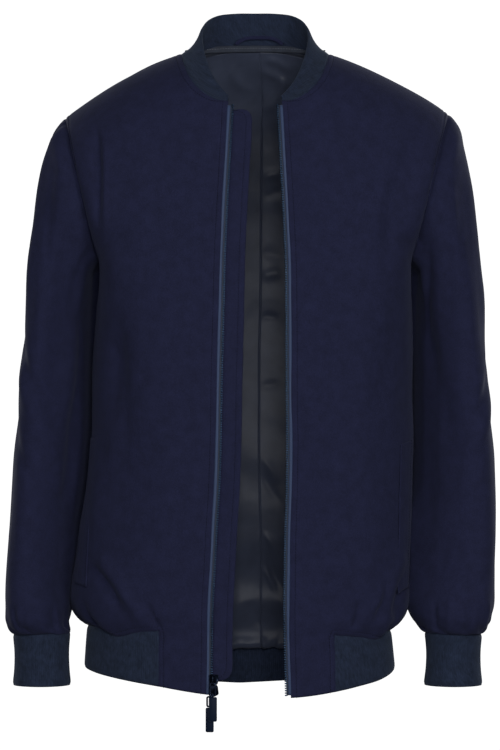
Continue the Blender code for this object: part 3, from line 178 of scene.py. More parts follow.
SLEEVE_CREASES = {
    1: [
        (-30, -225, -26, -360, 0, 5, 20),
        (8, -500, 4, -668, 0, 5.2, 30),
        (-38, -470, -34, -650, 0, 4, 16),
        (128, -108, 146, -330, -9, 2, 11),
        (106, -140, 118, -400, 8, -1.6, 12),
        (74, -180, 66, -300, -5, 1.8, 9),
        (52, -300, 86, -470, 8, -1.8, 14),
        (150, -420, 128, -600, 8, 1.4, 18),
        (250, -170, 238, -360, 8, -2, 13),
        (284, -250, 250, -410, -8, 2.2, 12),
        (210, -380, 232, -580, 7, -1.6, 16),
        (300, -430, 270, -560, 6, 1.8, 13),
        (78, -150, 58, -330, 6, -1.5, 5),
        (90, -150, 71, -330, 6, 1.1, 7),
        (150, -330, 100, -430, 5, -1.3, 6),
        (142, -380, 94, -470, 5, 1.2, 7),
        (62, -628, 60, -664, 0, -1.2, 3.6),
        (84, -620, 80, -664, 0, 1, 4.5),
        (104, -630, 108, -664, 0, -1.2, 3.6),
        (132, -626, 136, -664, 0, 1, 4.5),
        (152, -632, 154, -664, 0, -1.2, 4),
        (232, -626, 228, -664, 0, -1.1, 4.5),
    ],
    -1: [
        (30, -225, 26, -360, 0, 5, 20),
        (-6, -540, -4, -668, 0, 2.4, 26),
        (36, -420, 32, -668, 0, 6.6, 17),
        (-120, -78, -126, -320, 2, 2.6, 7),
        (-134, -76, -142, -330, 2, -3, 4.6),
        (-98, -180, -92, -420, 8, -1.8, 13),
        (-72, -230, -66, -420, -6, 1.6, 12),
        (-60, -380, -72, -540, 7, -1.8, 15),
        (-148, -420, -132, -600, -7, 1.4, 18),
        (-252, -160, -240, -350, -8, 2, 13),
        (-286, -260, -256, -420, 8, -2.2, 12),
        (-214, -400, -236, -590, -7, 1.6, 16),
        (-60, -180, -80, -310, -4, -1.4, 5),
        (-142, -300, -86, -420, -6, -1.5, 6),
        (-132, -350, -80, -470, -5, 1.3, 7),
        (-150, -390, -100, -500, -4, -1.1, 7),
        (-58, -630, -56, -664, 0, -1.1, 4),
        (-92, -626, -96, -664, 0, 1, 4.5),
        (-116, -632, -112, -664, 0, -1.2, 3.8),
        (-148, -628, -152, -664, 0, -1.1, 4),
        (-240, -624, -236, -664, 0, 1.1, 4.5),
    ],
}
LINING_CREASES = [
    (12, 0, 44, -15, 3, 2.6, 4),
    (4, -12, 42, -31, 2, 2.8, 4.5),
    (9, -64, 38, -20, -3, 3, 6),
    (-32, -4, -4, -40, -4, 2.6, 6),
    (-47, 2, -45, -16, 0, -1.4, 2.2),
    (-40, 3, -39, -14, 0, -1.2, 2),
    (-56, -20, -24, -92, -7, 1.6, 8),
    (10, -139, 34, -132, 1, 1.4, 5),
    (9, -160, 36, -150, -1, -1.5, 6),
    (9, -224, 33, -236, 1, -1.4, 7),
    (8, -256, 32, -250, 1, 1.3, 6),
    (8, -302, 28, -305, 1, 1.3, 4),
    (7, -384, 31, -380, -1, 0.8, 5),
    (7, -402, 30, -406, 1, -0.6, 7),
    (8, -468, 27, -500, 2, 1.3, 4.2),
    (9, -484, 30, -522, -2, -1.6, 4.4),
    (10, -556, 35, -604, 3, 2.2, 3.4),
    (12, -574, 37, -628, -2, -2.5, 3.4),
    (8, -596, 33, -643, 2, 2.2, 3.2),
    (18, -590, 36, -650, -2, -2, 3),
    (-8, -638, 6, -667, -1, 1.6, 4),
    (-24, -560, -18, -650, 3, 1.2, 7),
    (-110, -300, -90, -640, 8, 2, 16),
    (110, -280, 96, -640, -8, 2, 16),
]
# The folded edge of the lining's centre-back pleat, as (x, z).
PLEAT = np.array([(5.0, 14.0), (8.6, -46.0), (7.8, -116.0), (7.0, -213.0), (6.6, -283.0), (4.9, -342.0),
                  (4.8, -480.0), (7.0, -560.0), (7.2, -690.0)])
PLEAT_REACH = 22.0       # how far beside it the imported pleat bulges
LINING_ROLL = 16.0       # height of the gathered lower edge

# ---------------------------------------------------------------- small pieces
# Heights above the neckline and distances inward of it, over the tape's folded edges.
NECK_TAPE_ROWS = ((2.4, 2.2), (3.6, 2.8), (3.2, 4.0), (0.2, 4.6), (-3.4, 4.8), (-4.6, 3.6), (-4.2, 2.6))
NECK_TAPE_ENDS = 24.0    # that it stays short of each shoulder
NECK_TAPE_PLACES = 140
LOOP_RADIUS = 2.0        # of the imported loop
LOOP_PLACES = 60
# The loop's band round its middle line, as how far forward and how far up.
LOOP_BAND = ((0.0, 2.2), (0.6, 1.9), (0.8, 0.0), (0.6, -1.9),
             (0.0, -2.2), (-0.6, -1.9), (-0.8, 0.0), (-0.6, 1.9))
THREAD = (0.3, 0.24)     # a stitch's half width and half height
STITCH_SHARE = 0.74      # of a step that the stitch fills
TAPE_SET_BACK = 2.3      # from a front's face to its tape's
TAPE_HIDDEN, TAPE_SHOWN, TEETH_WIDTH = 9.0, 3.6, 3.0
# The tape's section over its cord, as how far into the panel and how far raised.
TAPE_SECTION = ((TAPE_HIDDEN, 0.0), (4.0, 0.0), (0.6, 0.2), (0.2, 0.8), (-0.4, 1.1), (-1.1, 1.2), (-1.8, 1.0),
                (-2.2, 0.1), (-TAPE_SHOWN, 0.0), (-TAPE_SHOWN - 1.2, 0.0))
TAPE_ROWS = 260
ZIP_TOP_Z, ZIP_BOTTOM_Z = -67.0, -729.0
TOOTH_LENGTH, TOOTH_HEIGHT, TOOTH_ROUND = 1.5, 2.4, 0.42
TEETH_RAISED = 0.25      # from the tape's face to the teeth's middle
METAL_ROUND = 0.35       # radius of the sliders' and grips' edges
DOUBLES = 0.005          # points closer than this are one
# Angles in radians: flatter edges are dissolved, sharper ones rounded, and flatter ones shaded smooth.
FLAT_EDGE, SHARP_EDGE, SMOOTH_EDGE = 0.03, 0.5, 0.9


# ---------------------------------------------------------------- settings a user would change
class ClothSettings(bpy.types.PropertyGroup):
    """Mesh, stitches and colours of the cloths"""
    cell: bpy.props.FloatProperty(
        name="Cell", description="Size of a panel's mesh cells, in millimetres", default=2.4, min=1.0)
    stitch: bpy.props.FloatProperty(
        name="Stitch", description="Length of a stitch and its gap, in millimetres", default=3.2, min=1.0)
    colour: bpy.props.StringProperty(
        name="Cloth colour", description="sRGB colour of the brushed cloth", default="#212440")
    rib_colour: bpy.props.StringProperty(
        name="Rib colour", description="sRGB colour of the rib knit", default="#242D41")
    lining_colour: bpy.props.StringProperty(
        name="Lining colour", description="sRGB colour of the satin", default="#3F4557")


class KnitSettings(bpy.types.PropertyGroup):
    """Ribs of the knit"""
    pitch: bpy.props.FloatProperty(
        name="Rib pitch", description="Distance from one rib to the next, in millimetres",
        default=2.4, min=1.0)
    depth: bpy.props.FloatProperty(
        name="Rib depth", description="Height of a rib above its neighbours' valleys, in millimetres",
        default=0.32, min=0.0)


class ZipSettings(bpy.types.PropertyGroup):
    """Teeth and colours of the zip"""
    pitch: bpy.props.FloatProperty(
        name="Tooth pitch", description="Distance from one tooth to the next, in millimetres", default=2.65)
    tape_colour: bpy.props.StringProperty(
        name="Tape colour", description="sRGB colour of the woven zip tape", default="#2F4266")
    metal_colour: bpy.props.StringProperty(
        name="Metal colour", description="sRGB colour of the plated teeth", default="#34475F")


class StageSettings(bpy.types.PropertyGroup):
    """Place and lens of the camera"""
    distance: bpy.props.FloatProperty(
        name="Camera distance", description="Distance from the camera to the garment's middle",
        default=4.5, unit="LENGTH")
    lens: bpy.props.FloatProperty(
        name="Lens", description="Focal length on a sensor 36 mm high", default=187.8, unit="CAMERA")
    camera_x: bpy.props.FloatProperty(
        name="Camera x", description="Sideways place of the camera", default=-0.00575, unit="LENGTH")
    camera_z: bpy.props.FloatProperty(
        name="Camera z", description="Height of the camera", default=-0.3709, unit="LENGTH")


GROUPS = {"cloth": ClothSettings, "knit": KnitSettings, "zip": ZipSettings, "stage": StageSettings}


def setting(group):
    """The scene's settings of that group."""
    return getattr(bpy.context.scene, "jacket_" + group)


# ---------------------------------------------------------------- small tools
def smooth_step(x):
    """Rises smoothly from 0 to 1 as x does."""
    x = np.clip(x, 0.0, 1.0)
    return x * x * (3 - 2 * x)


def unit(vectors):
    """The vectors' directions."""
    return vectors / np.maximum(np.linalg.norm(vectors, axis=-1, keepdims=True), 1e-9)


def linear(code):
    """Linear colour of an sRGB hex code."""
    values = np.array([int(code[i:i + 2], 16) for i in (1, 3, 5)]) / 255.0
    out = np.where(values <= 0.04045, values / 12.92, ((values + 0.055) / 1.055) ** 2.4)
    return (*out.tolist(), 1.0)


def spline(keys, values, at):
    """Values at the given places of a smooth curve through keyed values."""
    extra = (1,) * (values.ndim - 1)
    at = np.clip(np.asarray(at, float), keys[0], keys[-1])
    steps = np.diff(keys).reshape(-1, *extra)
    slopes = np.diff(values, axis=0) / steps
    tangents = np.empty_like(values)
    tangents[0], tangents[-1] = slopes[0], slopes[-1]
    before = steps[1:] / (steps[:-1] + steps[1:])
    tangents[1:-1] = slopes[:-1] * before + slopes[1:] * (1 - before)
    i = np.clip(np.searchsorted(keys, at, side="right") - 1, 0, len(keys) - 2)
    h = (keys[i + 1] - keys[i]).reshape(at.shape + extra)
    t = (at - keys[i]).reshape(at.shape + extra) / h
    return (
        values[i] * (2 * t**3 - 3 * t**2 + 1)
        + values[i + 1] * (3 * t**2 - 2 * t**3)
        + tangents[i] * h * (t**3 - 2 * t**2 + t)
        + tangents[i + 1] * h * (t**3 - t**2)
    )


def running(points):
    """Length along a polyline from its first point."""
    return np.concatenate([[0.0], np.cumsum(np.linalg.norm(np.diff(points, axis=0), axis=-1))])


def divided(marks, step):
    """Places from the first mark to the last, every mark among them, no further apart than a step."""
    places = [marks[0]]
    for a, b in zip(marks, marks[1:]):
        places += list(np.linspace(a, b, max(1, math.ceil((b - a) / step)) + 1)[1:])
    return np.array(places)


def beside(mark, way=1.0):
    """Places close together on one side of a mark, as a seam and the stitched line beside it need."""
    return [mark + way * place for place in SEAM_PLACES]


def creased(a, b, creases):
    """Height of the creases at places (a, b) of a piece."""
    total = np.zeros(np.shape(a))
    for a0, b0, a1, b1, bow, height, width in creases:
        run_a, run_b = a1 - a0, b1 - b0
        length = math.hypot(run_a, run_b)
        share = ((a - a0) * run_a + (b - b0) * run_b) / length**2
        off = ((b - b0) * run_a - (a - a0) * run_b) / length - 4 * bow * share * (1 - share)
        fade = smooth_step(share / 0.35 + 0.2) * smooth_step((1 - share) / 0.35 + 0.2)
        total += height * fade * np.exp(-((off / width) ** 2))
    return total


def swell(points, kind, variant=0):
    """Soft uneven waves about one size apart, as cloth has where nothing pulls it flat."""
    size, height, seed = SWELLS[kind]
    pick = np.random.default_rng(seed + variant)
    total = np.zeros(points.shape[:-1])
    for _ in range(SWELL_WAVES):
        way = unit(pick.normal(size=3)) * 2 * math.pi / (size * pick.uniform(0.7, 1.6))
        total += np.sin(points @ way + pick.uniform(0, 2 * math.pi))
    return height * total / math.sqrt(SWELL_WAVES)


def distance_to(points, path):
    """Distance from each point of a grid to a polyline."""
    flat = points.reshape(-1, 3)
    least = np.full(len(flat), np.inf)
    for a, b in zip(path, path[1:]):
        run = b - a
        share = np.clip(((flat - a) @ run) / max(run @ run, 1e-9), 0.0, 1.0)
        apart = np.linalg.norm(flat - a - share[:, None] * run, axis=-1)
        least = np.minimum(least, apart)
    return least.reshape(points.shape[:-1])


def groove(distance, width, depth):
    """How far a soft groove sinks the cloth at a distance from its line."""
    return -depth * np.exp(-((distance / width) ** 2))


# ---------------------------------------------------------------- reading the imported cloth
def cloth_side(node, wall, centre=(0.0, 0.0)):
    """The outward side of a packed cloth wall: points in millimetres and triangles."""
    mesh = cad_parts[node].data
    mesh.calc_loop_triangles()
    raw = np.empty(len(mesh.vertices) * 3, np.float32)
    mesh.vertices.foreach_get("co", raw)
    corners = np.empty(len(mesh.loop_triangles) * 3, np.int32)
    mesh.loop_triangles.foreach_get("vertices", corners)
    points, index = np.unique(np.round(raw.reshape(-1, 3) / MM, 3), axis=0, return_inverse=True)
    triangles = index.reshape(-1)[corners].reshape(-1, 3)
    sides = np.linalg.norm(points[triangles] - points[np.roll(triangles, -1, axis=1)], axis=-1)
    rim = (np.abs(sides - wall) < 0.12 * wall).any(axis=1)
    a, b, c = (points[triangles[:, k]] for k in range(3))
    away = (np.cross(b - a, c - a) * ((a + b + c) / 3 - (*centre, 0.0)) * (1, 1, 0)).sum(axis=1)
    group = point_groups(triangles[~rim], len(points))
    of_faces = group[triangles[~rim][:, 0]]
    best = max(np.unique(of_faces), key=lambda g: away[~rim][of_faces == g].sum())
    return points, triangles[(group[triangles] == best).all(axis=1)]


def point_groups(triangles, count):
    """A number for each point, the same for all that hang together by triangles."""
    group = np.arange(count)
    while (group[triangles] != group[triangles[:, :1]]).any():
        least = group[triangles].min(axis=1)
        for k in range(3):
            np.minimum.at(group, triangles[:, k], least)
    return group


def rims(triangles):
    """The boundary loops of a sheet, each a list of point indices."""
    directed = {(t[k], t[(k + 1) % 3]) for t in triangles.tolist() for k in range(3)}
    following = {a: b for a, b in directed if (b, a) not in directed}
    loops = []
    while following:
        start, here = next(iter(following.items()))
        loop = [start]
        del following[start]
        while here != start:
            loop.append(here)
            here = following.pop(here)
        loops.append(loop)
    return loops


def nearest(points, indices, place):
    """Where in a list of point indices the one nearest to a place stands."""
    return min(range(len(indices)), key=lambda i: float(np.linalg.norm(points[indices[i]] - place)))


def first_row(points, triangles, start, end):
    """The shorter way round the sheet's rim between the rim points nearest to two places."""
    loop = max(rims(triangles), key=len)
    i, j = nearest(points, loop, start), nearest(points, loop, end)
    n = len(loop)
    ways = [
        [loop[(i + k) % n] for k in range((j - i) % n + 1)],
        [loop[(i - k) % n] for k in range((i - j) % n + 1)],
    ]
    return min(ways, key=lambda way: running(points[way])[-1])


def first_ring(points, triangles, start):
    """The highest rim of a tube, from the point nearest to a place and back to it."""
    loop = max(rims(triangles), key=lambda r: points[r][:, 2].mean())
    i = nearest(points, loop, start)
    return loop[i:] + loop[:i + 1]


def walked(points, triangles, row):
    """The sheet as grids of points, row by row. Where only a row's near part goes on, a new grid starts.
    Also says whether the rows run against the triangles' own sense."""
    third = {}
    for a, b, c in triangles.tolist():
        third[a, b], third[b, c], third[c, a] = c, a, b
    against = (row[0], row[1]) not in third

    def past(a, b, known):
        found = [third[key] for key in ((a, b), (b, a)) if key in third and third[key] not in known]
        return found[0] if found else None

    def on_rim(a, b):
        return ((a, b) in third) != ((b, a) in third)

    grids, passed, aim = [[row]], set(row), points[row[0]]
    while (near := past(row[0], row[1], passed)) is not None:
        start = row[0]
        choices = [k for k in (near, past(start, near, {row[1]})) if k is not None and k not in passed]
        choices = [k for k in choices if on_rim(start, k)] or choices
        here = min(choices, key=lambda k: np.linalg.norm(points[k] - aim))
        under = [here]
        for a, b in zip(row, row[1:]):
            here = past(a, b, passed)
            if here == under[-1]:
                here = past(here, b, {a})
            if here is None:
                break
            under.append(here)
        if len(under) < len(row):
            grids.append([row[:len(under)]])
        passed |= set(under)
        straight_on = 0 if on_rim(start, under[0]) else 1
        aim = points[under[0]] + straight_on * (points[under[0]] - points[start])
        row = under
        grids[-1].append(row)
    return [points[np.array(grid)] for grid in grids], against


def keyed(grid, axis):
    """Mean running length along one axis of a grid."""
    steps = np.linalg.norm(np.diff(grid, axis=axis), axis=-1)
    return np.concatenate([[0.0], np.cumsum(steps.mean(axis=1 - axis))])


def finer(grid, keys_down, keys_across, down, across, corners=()):
    """The grid at other places, by smooth curves both ways. Near a corner (row, column), the curves down
    the grid are broken at that row, so that the corner stays sharp."""
    rows = spline(keys_down, grid, down)
    for row, column in corners:
        upper = down <= keys_down[row]
        broken = np.concatenate([
            spline(keys_down[:row + 1], grid[:row + 1], down[upper]),
            spline(keys_down[row:], grid[row:], down[~upper]),
        ])
        share = np.exp(-(((np.arange(grid.shape[1]) - column) / 1.3) ** 2))[None, :, None]
        rows = rows * (1 - share) + broken * share
    return spline(keys_across, rows.swapaxes(0, 1), across).swapaxes(0, 1)


def over(grid):
    """Running lengths across and down a fine grid."""
    across = np.linalg.norm(np.diff(grid, axis=1), axis=-1)
    down = np.linalg.norm(np.diff(grid, axis=0), axis=-1)
    u = np.concatenate([np.zeros((len(grid), 1)), np.cumsum(across, axis=1)], axis=1)
    v = np.concatenate([np.zeros((1, grid.shape[1])), np.cumsum(down, axis=0)], axis=0)
    return u, v


# ---------------------------------------------------------------- making objects
Patch = namedtuple("Patch", "points height relief against keep", defaults=(0.0, False, None))
SURFACES = {}      # the outer side of each finished piece, for what is laid or tucked against it


def added(name, mesh, material=None):
    """A new object in the scene with that mesh and material."""
    if material:
        mesh.materials.append(material)
    obj = bpy.data.objects.new(name, mesh)
    bpy.context.collection.objects.link(obj)
    return obj


def mesh_of(name, shaped):
    """The bmesh as a mesh."""
    mesh = bpy.data.meshes.new(name)
    shaped.to_mesh(mesh)
    shaped.free()
    return mesh


def sheet_object(name, patches, wall, material, extra=None):
    """A cloth wall from fine grids that share points. Both its sides are moved along the grid's normals by
    the height, and its outer side by the relief as well."""
    points, heights, reliefs, faces, places = [], [], [], [], []
    start = 0
    for patch in patches:
        shape = patch.points.shape[:2]
        index = start + np.arange(shape[0] * shape[1]).reshape(shape)
        quads = np.stack([index[:-1, :-1], index[:-1, 1:], index[1:, 1:], index[1:, :-1]], axis=-1)
        quads = quads[:, :, ::-1] if patch.against else quads
        faces.append(quads.reshape(-1, 4) if patch.keep is None else quads[patch.keep])
        points.append(patch.points.reshape(-1, 3))
        heights.append(np.broadcast_to(patch.height, shape).reshape(-1))
        reliefs.append(np.broadcast_to(patch.relief, shape).reshape(-1))
        places.append(np.stack(over(patch.points), axis=-1).reshape(-1, 2))
        start += shape[0] * shape[1]
    points, heights, reliefs, faces, places = map(np.concatenate, (points, heights, reliefs, faces, places))
    _, first, index = np.unique(np.round(points, 2), axis=0, return_index=True, return_inverse=True)
    used, joined = np.unique(first[index.reshape(-1)][faces], return_inverse=True)
    joined = joined.reshape(-1, 4)
    base, count = points[used], len(used)
    middle = bpy.data.meshes.new(name)
    middle.from_pydata(base.tolist(), [], joined.tolist())
    normals = np.empty(count * 3, np.float32)
    middle.vertex_normals.foreach_get("vector", normals)
    bpy.data.meshes.remove(middle)
    normals = normals.reshape(-1, 3)
    outer = base + normals * (heights + reliefs)[used][:, None]
    inner = base + normals * (heights[used] - wall)[:, None]
    SURFACES[name] = BVHTree.FromPolygons([Vector(p) for p in outer], joined.tolist())
    rim, rim_places = rim_quads(joined, places[faces], count)
    mesh = bpy.data.meshes.new(name)
    mesh.from_pydata((np.concatenate([outer, inner]) * MM).tolist(), [],
                     np.concatenate([joined, joined[:, ::-1] + count, rim]).tolist())
    cloth = np.concatenate([places[faces], places[faces][:, ::-1], rim_places])
    mesh.uv_layers.new(name="cloth").uv.foreach_set("vector", (cloth * MM).astype(np.float32).ravel())
    for label, values in (extra or {}).items():
        layer = mesh.attributes.new(label, "FLOAT", "POINT")
        layer.data.foreach_set("value", np.tile(np.asarray(values, np.float32).reshape(-1)[used], 2))
    mesh.shade_smooth()
    return added(name, mesh, material)


def rim_quads(quads, places, count):
    """Quads between the two sides of a wall along the sheet's open edges, and their places on the cloth."""
    starts, ends = quads, np.roll(quads, -1, axis=1)
    known = set((starts * count + ends).ravel().tolist())
    open_edge = np.array([code not in known for code in (ends * count + starts).ravel().tolist()])
    a, b = starts.ravel()[open_edge], ends.ravel()[open_edge]
    at, bt = places.reshape(-1, 2)[open_edge], np.roll(places, -1, axis=1).reshape(-1, 2)[open_edge]
    return np.stack([b, a, a + count, b + count], axis=1), np.stack([bt, at, at, bt], axis=1)


def laid(points, names, lift):
    """Each point moved to the nearest place of the named surfaces, lifted off it, with the way outward."""
    found, outward = np.empty_like(points), np.empty_like(points)
    for i, point in enumerate(points):
        hits = [SURFACES[name].find_nearest(Vector(point)) for name in names]
        place, normal = min(hits, key=lambda hit: hit[3])[:2]
        found[i] = np.array(place) + np.array(normal) * lift
        outward[i] = normal
    return found, outward


def made_plain(obj):
    """Works the object's modifiers into its mesh."""
    graph = bpy.context.evaluated_depsgraph_get()
    old, mesh = obj.data, bpy.data.meshes.new_from_object(obj.evaluated_get(graph), depsgraph=graph)
    obj.modifiers.clear()
    obj.data = mesh
    mesh.name = obj.name
    if old.users == 0:
        bpy.data.meshes.remove(old)


def stands_for(obj, node, body):
    """Hides the solid a finished piece replaces, if any, and hangs the piece on the empty of the body it moves
    with.
    """
    if node:
        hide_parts(node)
    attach(obj, body)


def as_cloth(obj, node):
    """Works a finished cloth piece's modifiers into its mesh, hides the solid it replaces and hangs it on the
    jacket's body.
    """
    made_plain(obj)
    stands_for(obj, node, BODY)


def shell_piece(node, patches, wall=CLOTH_WALL):
    """A finished piece of the brushed cloth in place of a solid."""
    obj = sheet_object(node + "_cloth", patches, wall, finished("brushed_navy_cloth"))
    as_cloth(obj, node)


# ---------------------------------------------------------------- finishes
def add(tree, kind, inputs=None, **settings):
    """Adds a node with its settings; inputs names sockets and what they take, a value or another socket."""
    made = tree.nodes.new(kind)
    for name, value in settings.items():
        setattr(made, name, value)
    for key, value in (inputs or {}).items():
        if isinstance(value, bpy.types.NodeSocket):
            tree.links.new(value, made.inputs[key])
        else:
            made.inputs[key].default_value = value
    return made


def finish(name, sockets):
    """A new material with its Principled shader's own sockets set."""
    material = bpy.data.materials.new(name)
    material.use_nodes = True
    bsdf = material.node_tree.nodes["Principled BSDF"]
    for key, value in sockets.items():
        bsdf.inputs[key].default_value = value
    return material, material.node_tree, bsdf


def wear(tree, bsdf, color, normal):
    """Leads a pattern's colour and its bumps to the shader."""
    tree.links.new(color, bsdf.inputs["Base Color"])
    tree.links.new(normal, bsdf.inputs["Normal"])


def shade(ramp, code, *stops):
    """Sets a ramp's stops, each a place and the share of the sRGB colour there, and returns its colour."""
    for element, (position, share) in zip(ramp.color_ramp.elements, stops):
        element.position = position
        element.color = (*np.minimum(np.array(linear(code)[:3]) * share, 1.0), 1.0)
    return ramp.outputs["Color"]


def brushed_cloth(name, code, nap=0.06):
    """Brushed cotton and wool twill: matt, with short fibres that blur the weave and catch the light."""
    material, tree, bsdf = finish(name, {
        "Roughness": 0.92, "Sheen Weight": nap, "Sheen Roughness": 0.5, "Sheen Tint": (0.55, 0.62, 1.0, 1.0),
        "Specular IOR Level": 0.22})
    place = add(tree, "ShaderNodeTexCoord").outputs["Object"]
    # Blurred patches 12 mm wide, fibre clumps 1.4 mm and fibres 0.6 mm, drawn coarse so that they show.
    patch, clump, fibre = (add(tree, "ShaderNodeTexNoise", {
        "Vector": place, "Scale": scale, "Detail": detail, "Roughness": rough}).outputs["Fac"]
        for scale, detail, rough in ((80.0, 3.0, 0.6), (700.0, 2.0, 0.7), (1700.0, 2.0, 0.8)))
    light = add(tree, "ShaderNodeMath", {0: patch, 1: 0.45}, operation="MULTIPLY").outputs[0]
    light = add(tree, "ShaderNodeMath", {0: clump, 1: 0.55, 2: light}, operation="MULTIPLY_ADD").outputs[0]
    ramp = add(tree, "ShaderNodeValToRGB", {"Fac": light})
    fuzz = add(tree, "ShaderNodeBump", {"Height": fibre, "Strength": 0.35, "Distance": 0.0004}).outputs[0]
    bump = add(tree, "ShaderNodeBump", {"Height": clump, "Normal": fuzz, "Strength": 0.4, "Distance": 0.0005})
    wear(tree, bsdf, shade(ramp, code, (0.36, 0.78), (0.64, 1.22)), bump.outputs[0])
    return material


def heather_knit(name, code):
    """Cotton and wool rib knit: matt yarn of mixed navy and grey fibres."""
    material, tree, bsdf = finish(name, {
        "Roughness": 0.95, "Sheen Weight": 0.1, "Sheen Roughness": 0.5, "Sheen Tint": (0.6, 0.75, 1.0, 1.0),
        "Specular IOR Level": 0.2})
    place = add(tree, "ShaderNodeTexCoord").outputs["UV"]
    # Yarn flecks 2.4 mm across the ribs and 7.7 mm along them, in clouds 11 mm wide.
    long = add(tree, "ShaderNodeMapping", {"Vector": place, "Scale": (420.0, 130.0, 1.0)}).outputs[0]
    yarn, cloud = (add(tree, "ShaderNodeTexNoise", {
        "Vector": at, "Scale": scale, "Detail": 3.0, "Roughness": rough}).outputs["Fac"]
        for at, scale, rough in ((long, 1.0, 0.75), (place, 90.0, 0.6)))
    mixed = add(tree, "ShaderNodeMath", {0: cloud, 1: 0.4}, operation="MULTIPLY").outputs[0]
    mixed = add(tree, "ShaderNodeMath", {0: yarn, 1: 0.6, 2: mixed}, operation="MULTIPLY_ADD").outputs[0]
    ramp = add(tree, "ShaderNodeValToRGB", {"Fac": mixed})
    bump = add(tree, "ShaderNodeBump", {"Height": yarn, "Strength": 0.5, "Distance": 0.0005})
    wear(tree, bsdf, shade(ramp, code, (0.35, 0.62), (0.65, 1.45)), bump.outputs[0])
    return material


def satin(name, code):
    """Acetate satin: smooth floats of yarn that give soft streaks of light."""
    material, tree, bsdf = finish(name, {
        "Roughness": 0.38, "Sheen Weight": 0.05, "Anisotropic": 0.4, "Specular IOR Level": 0.13})
    place = add(tree, "ShaderNodeTexCoord").outputs["UV"]
    # Floats 5.6 x 1.1 mm, tone clouds 22 mm wide and a slight crush 36 mm wide.
    threads = add(tree, "ShaderNodeMapping", {"Vector": place, "Scale": (180.0, 900.0, 1.0)}).outputs[0]
    weft, cloud, crush = (add(tree, "ShaderNodeTexNoise", {
        "Vector": at, "Scale": scale, "Detail": detail}).outputs["Fac"]
        for at, scale, detail in ((threads, 1.0, 2.0), (place, 45.0, 3.0), (place, 28.0, 2.0)))
    ramp = add(tree, "ShaderNodeValToRGB", {"Fac": cloud})
    fine = add(tree, "ShaderNodeBump", {"Height": weft, "Strength": 0.12, "Distance": 0.0003}).outputs[0]
    bump = add(tree, "ShaderNodeBump", {"Height": crush, "Normal": fine, "Strength": 0.25, "Distance": 0.004})
    wear(tree, bsdf, shade(ramp, code, (0.3, 0.9), (0.7, 1.12)), bump.outputs[0])
    return material


def woven_tape(name, code):
    """Polyester zip tape: a stiff bright cord at its edge in the tape's colour, and past it the flat weave
    painted a third as bright, as painted shade beside the cord and the teeth; slightly shiny.
    """
    material, tree, bsdf = finish(name, {"Roughness": 0.62, "Sheen Weight": 0.15})
    place = add(tree, "ShaderNodeTexCoord").outputs["UV"]
    # Threads drawn coarser than the real 0.3 mm, so that they show.
    weave = add(tree, "ShaderNodeTexWave", {"Vector": place, "Scale": 190.0, "Distortion": 1.0},
                wave_type="BANDS", bands_direction="DIAGONAL").outputs["Fac"]
    across = add(tree, "ShaderNodeSeparateXYZ", {"Vector": place}).outputs["X"]
    # Painted shade: past the raised cord the tape's colour is cut to a third, standing in for the shade beside
    # the cord and the teeth.
    shade_past_cord = add(tree, "ShaderNodeMath", {0: across, 1: 0.0119}, operation="GREATER_THAN").outputs[0]
    ramp = add(tree, "ShaderNodeValToRGB", {"Fac": shade_past_cord})
    bump = add(tree, "ShaderNodeBump", {"Height": weave, "Strength": 0.3, "Distance": 0.0003})
    wear(tree, bsdf, shade(ramp, code, (0.0, 1.0), (1.0, 0.32)), bump.outputs[0])
    return material


def plated_metal(name, code, roughness):
    """Nickel-plated zinc: bright, with faint tumbling marks about 1 mm wide."""
    material, tree, bsdf = finish(name, {"Roughness": roughness, "Metallic": 1.0})
    place = add(tree, "ShaderNodeTexCoord").outputs["Object"]
    marks = add(tree, "ShaderNodeTexNoise", {"Vector": place, "Scale": 900.0, "Detail": 3.0}).outputs["Fac"]
    ramp = add(tree, "ShaderNodeValToRGB", {"Fac": marks})
    bump = add(tree, "ShaderNodeBump", {"Height": marks, "Strength": 0.2, "Distance": 0.0002})
    wear(tree, bsdf, shade(ramp, code, (0.3, 0.8), (0.7, 1.15)), bump.outputs[0])
    return material


def moulded_rubber(name, code):
    """Moulded soft PVC: smooth skin with a low gloss and a grain under 1 mm."""
    material, tree, bsdf = finish(name, {
        "Base Color": linear(code), "Roughness": 0.6, "Sheen Weight": 0.5, "Sheen Roughness": 0.3,
        "Sheen Tint": (0.5, 0.65, 1.0, 1.0), "Specular IOR Level": 0.12})
    place = add(tree, "ShaderNodeTexCoord").outputs["Object"]
    grain = add(tree, "ShaderNodeTexNoise", {"Vector": place, "Scale": 1500.0, "Detail": 2.0}).outputs["Fac"]
    bump = add(tree, "ShaderNodeBump", {"Height": grain, "Strength": 0.15, "Distance": 0.0002})
    tree.links.new(bump.outputs[0], bsdf.inputs["Normal"])
    return material


def sewing_thread(name, code):
    """Spun polyester thread: matt, a little rougher than satin."""
    return finish(name, {"Base Color": linear(code), "Roughness": 0.8, "Specular IOR Level": 0.15})[0]


def stage_paint(name, code, glow):
    """Matt white studio paint that glows a little, so that no shadow greys it."""
    return finish(name, {"Base Color": linear(code), "Roughness": 0.9, "Emission Color": (1.0, 1.0, 1.0, 1.0),
                         "Emission Strength": glow})[0]


FINISHES = {}


def finished(name):
    """The material of that name, made once."""
    if name not in FINISHES:
        cloth, zips = setting("cloth"), setting("zip")
        maker, *values = {
            "brushed_navy_cloth": (brushed_cloth, cloth.colour),
            "heather_rib_knit": (heather_knit, cloth.rib_colour),
            "satin_lining": (satin, cloth.lining_colour),
            "neck_tape_cotton": (brushed_cloth, "#3B404C", 0.0),
            "woven_zip_tape": (woven_tape, zips.tape_colour),
            "plated_teeth": (plated_metal, zips.metal_colour, 0.38),
            "plated_slider": (plated_metal, "#2A3244", 0.3),
            "moulded_grip": (moulded_rubber, "#131E32"),
            "navy_thread": (sewing_thread, "#0C0E1C"),
            "grey_thread": (sewing_thread, "#7A7E88"),
        }[name]
        FINISHES[name] = maker(name, *values)
    return FINISHES[name]


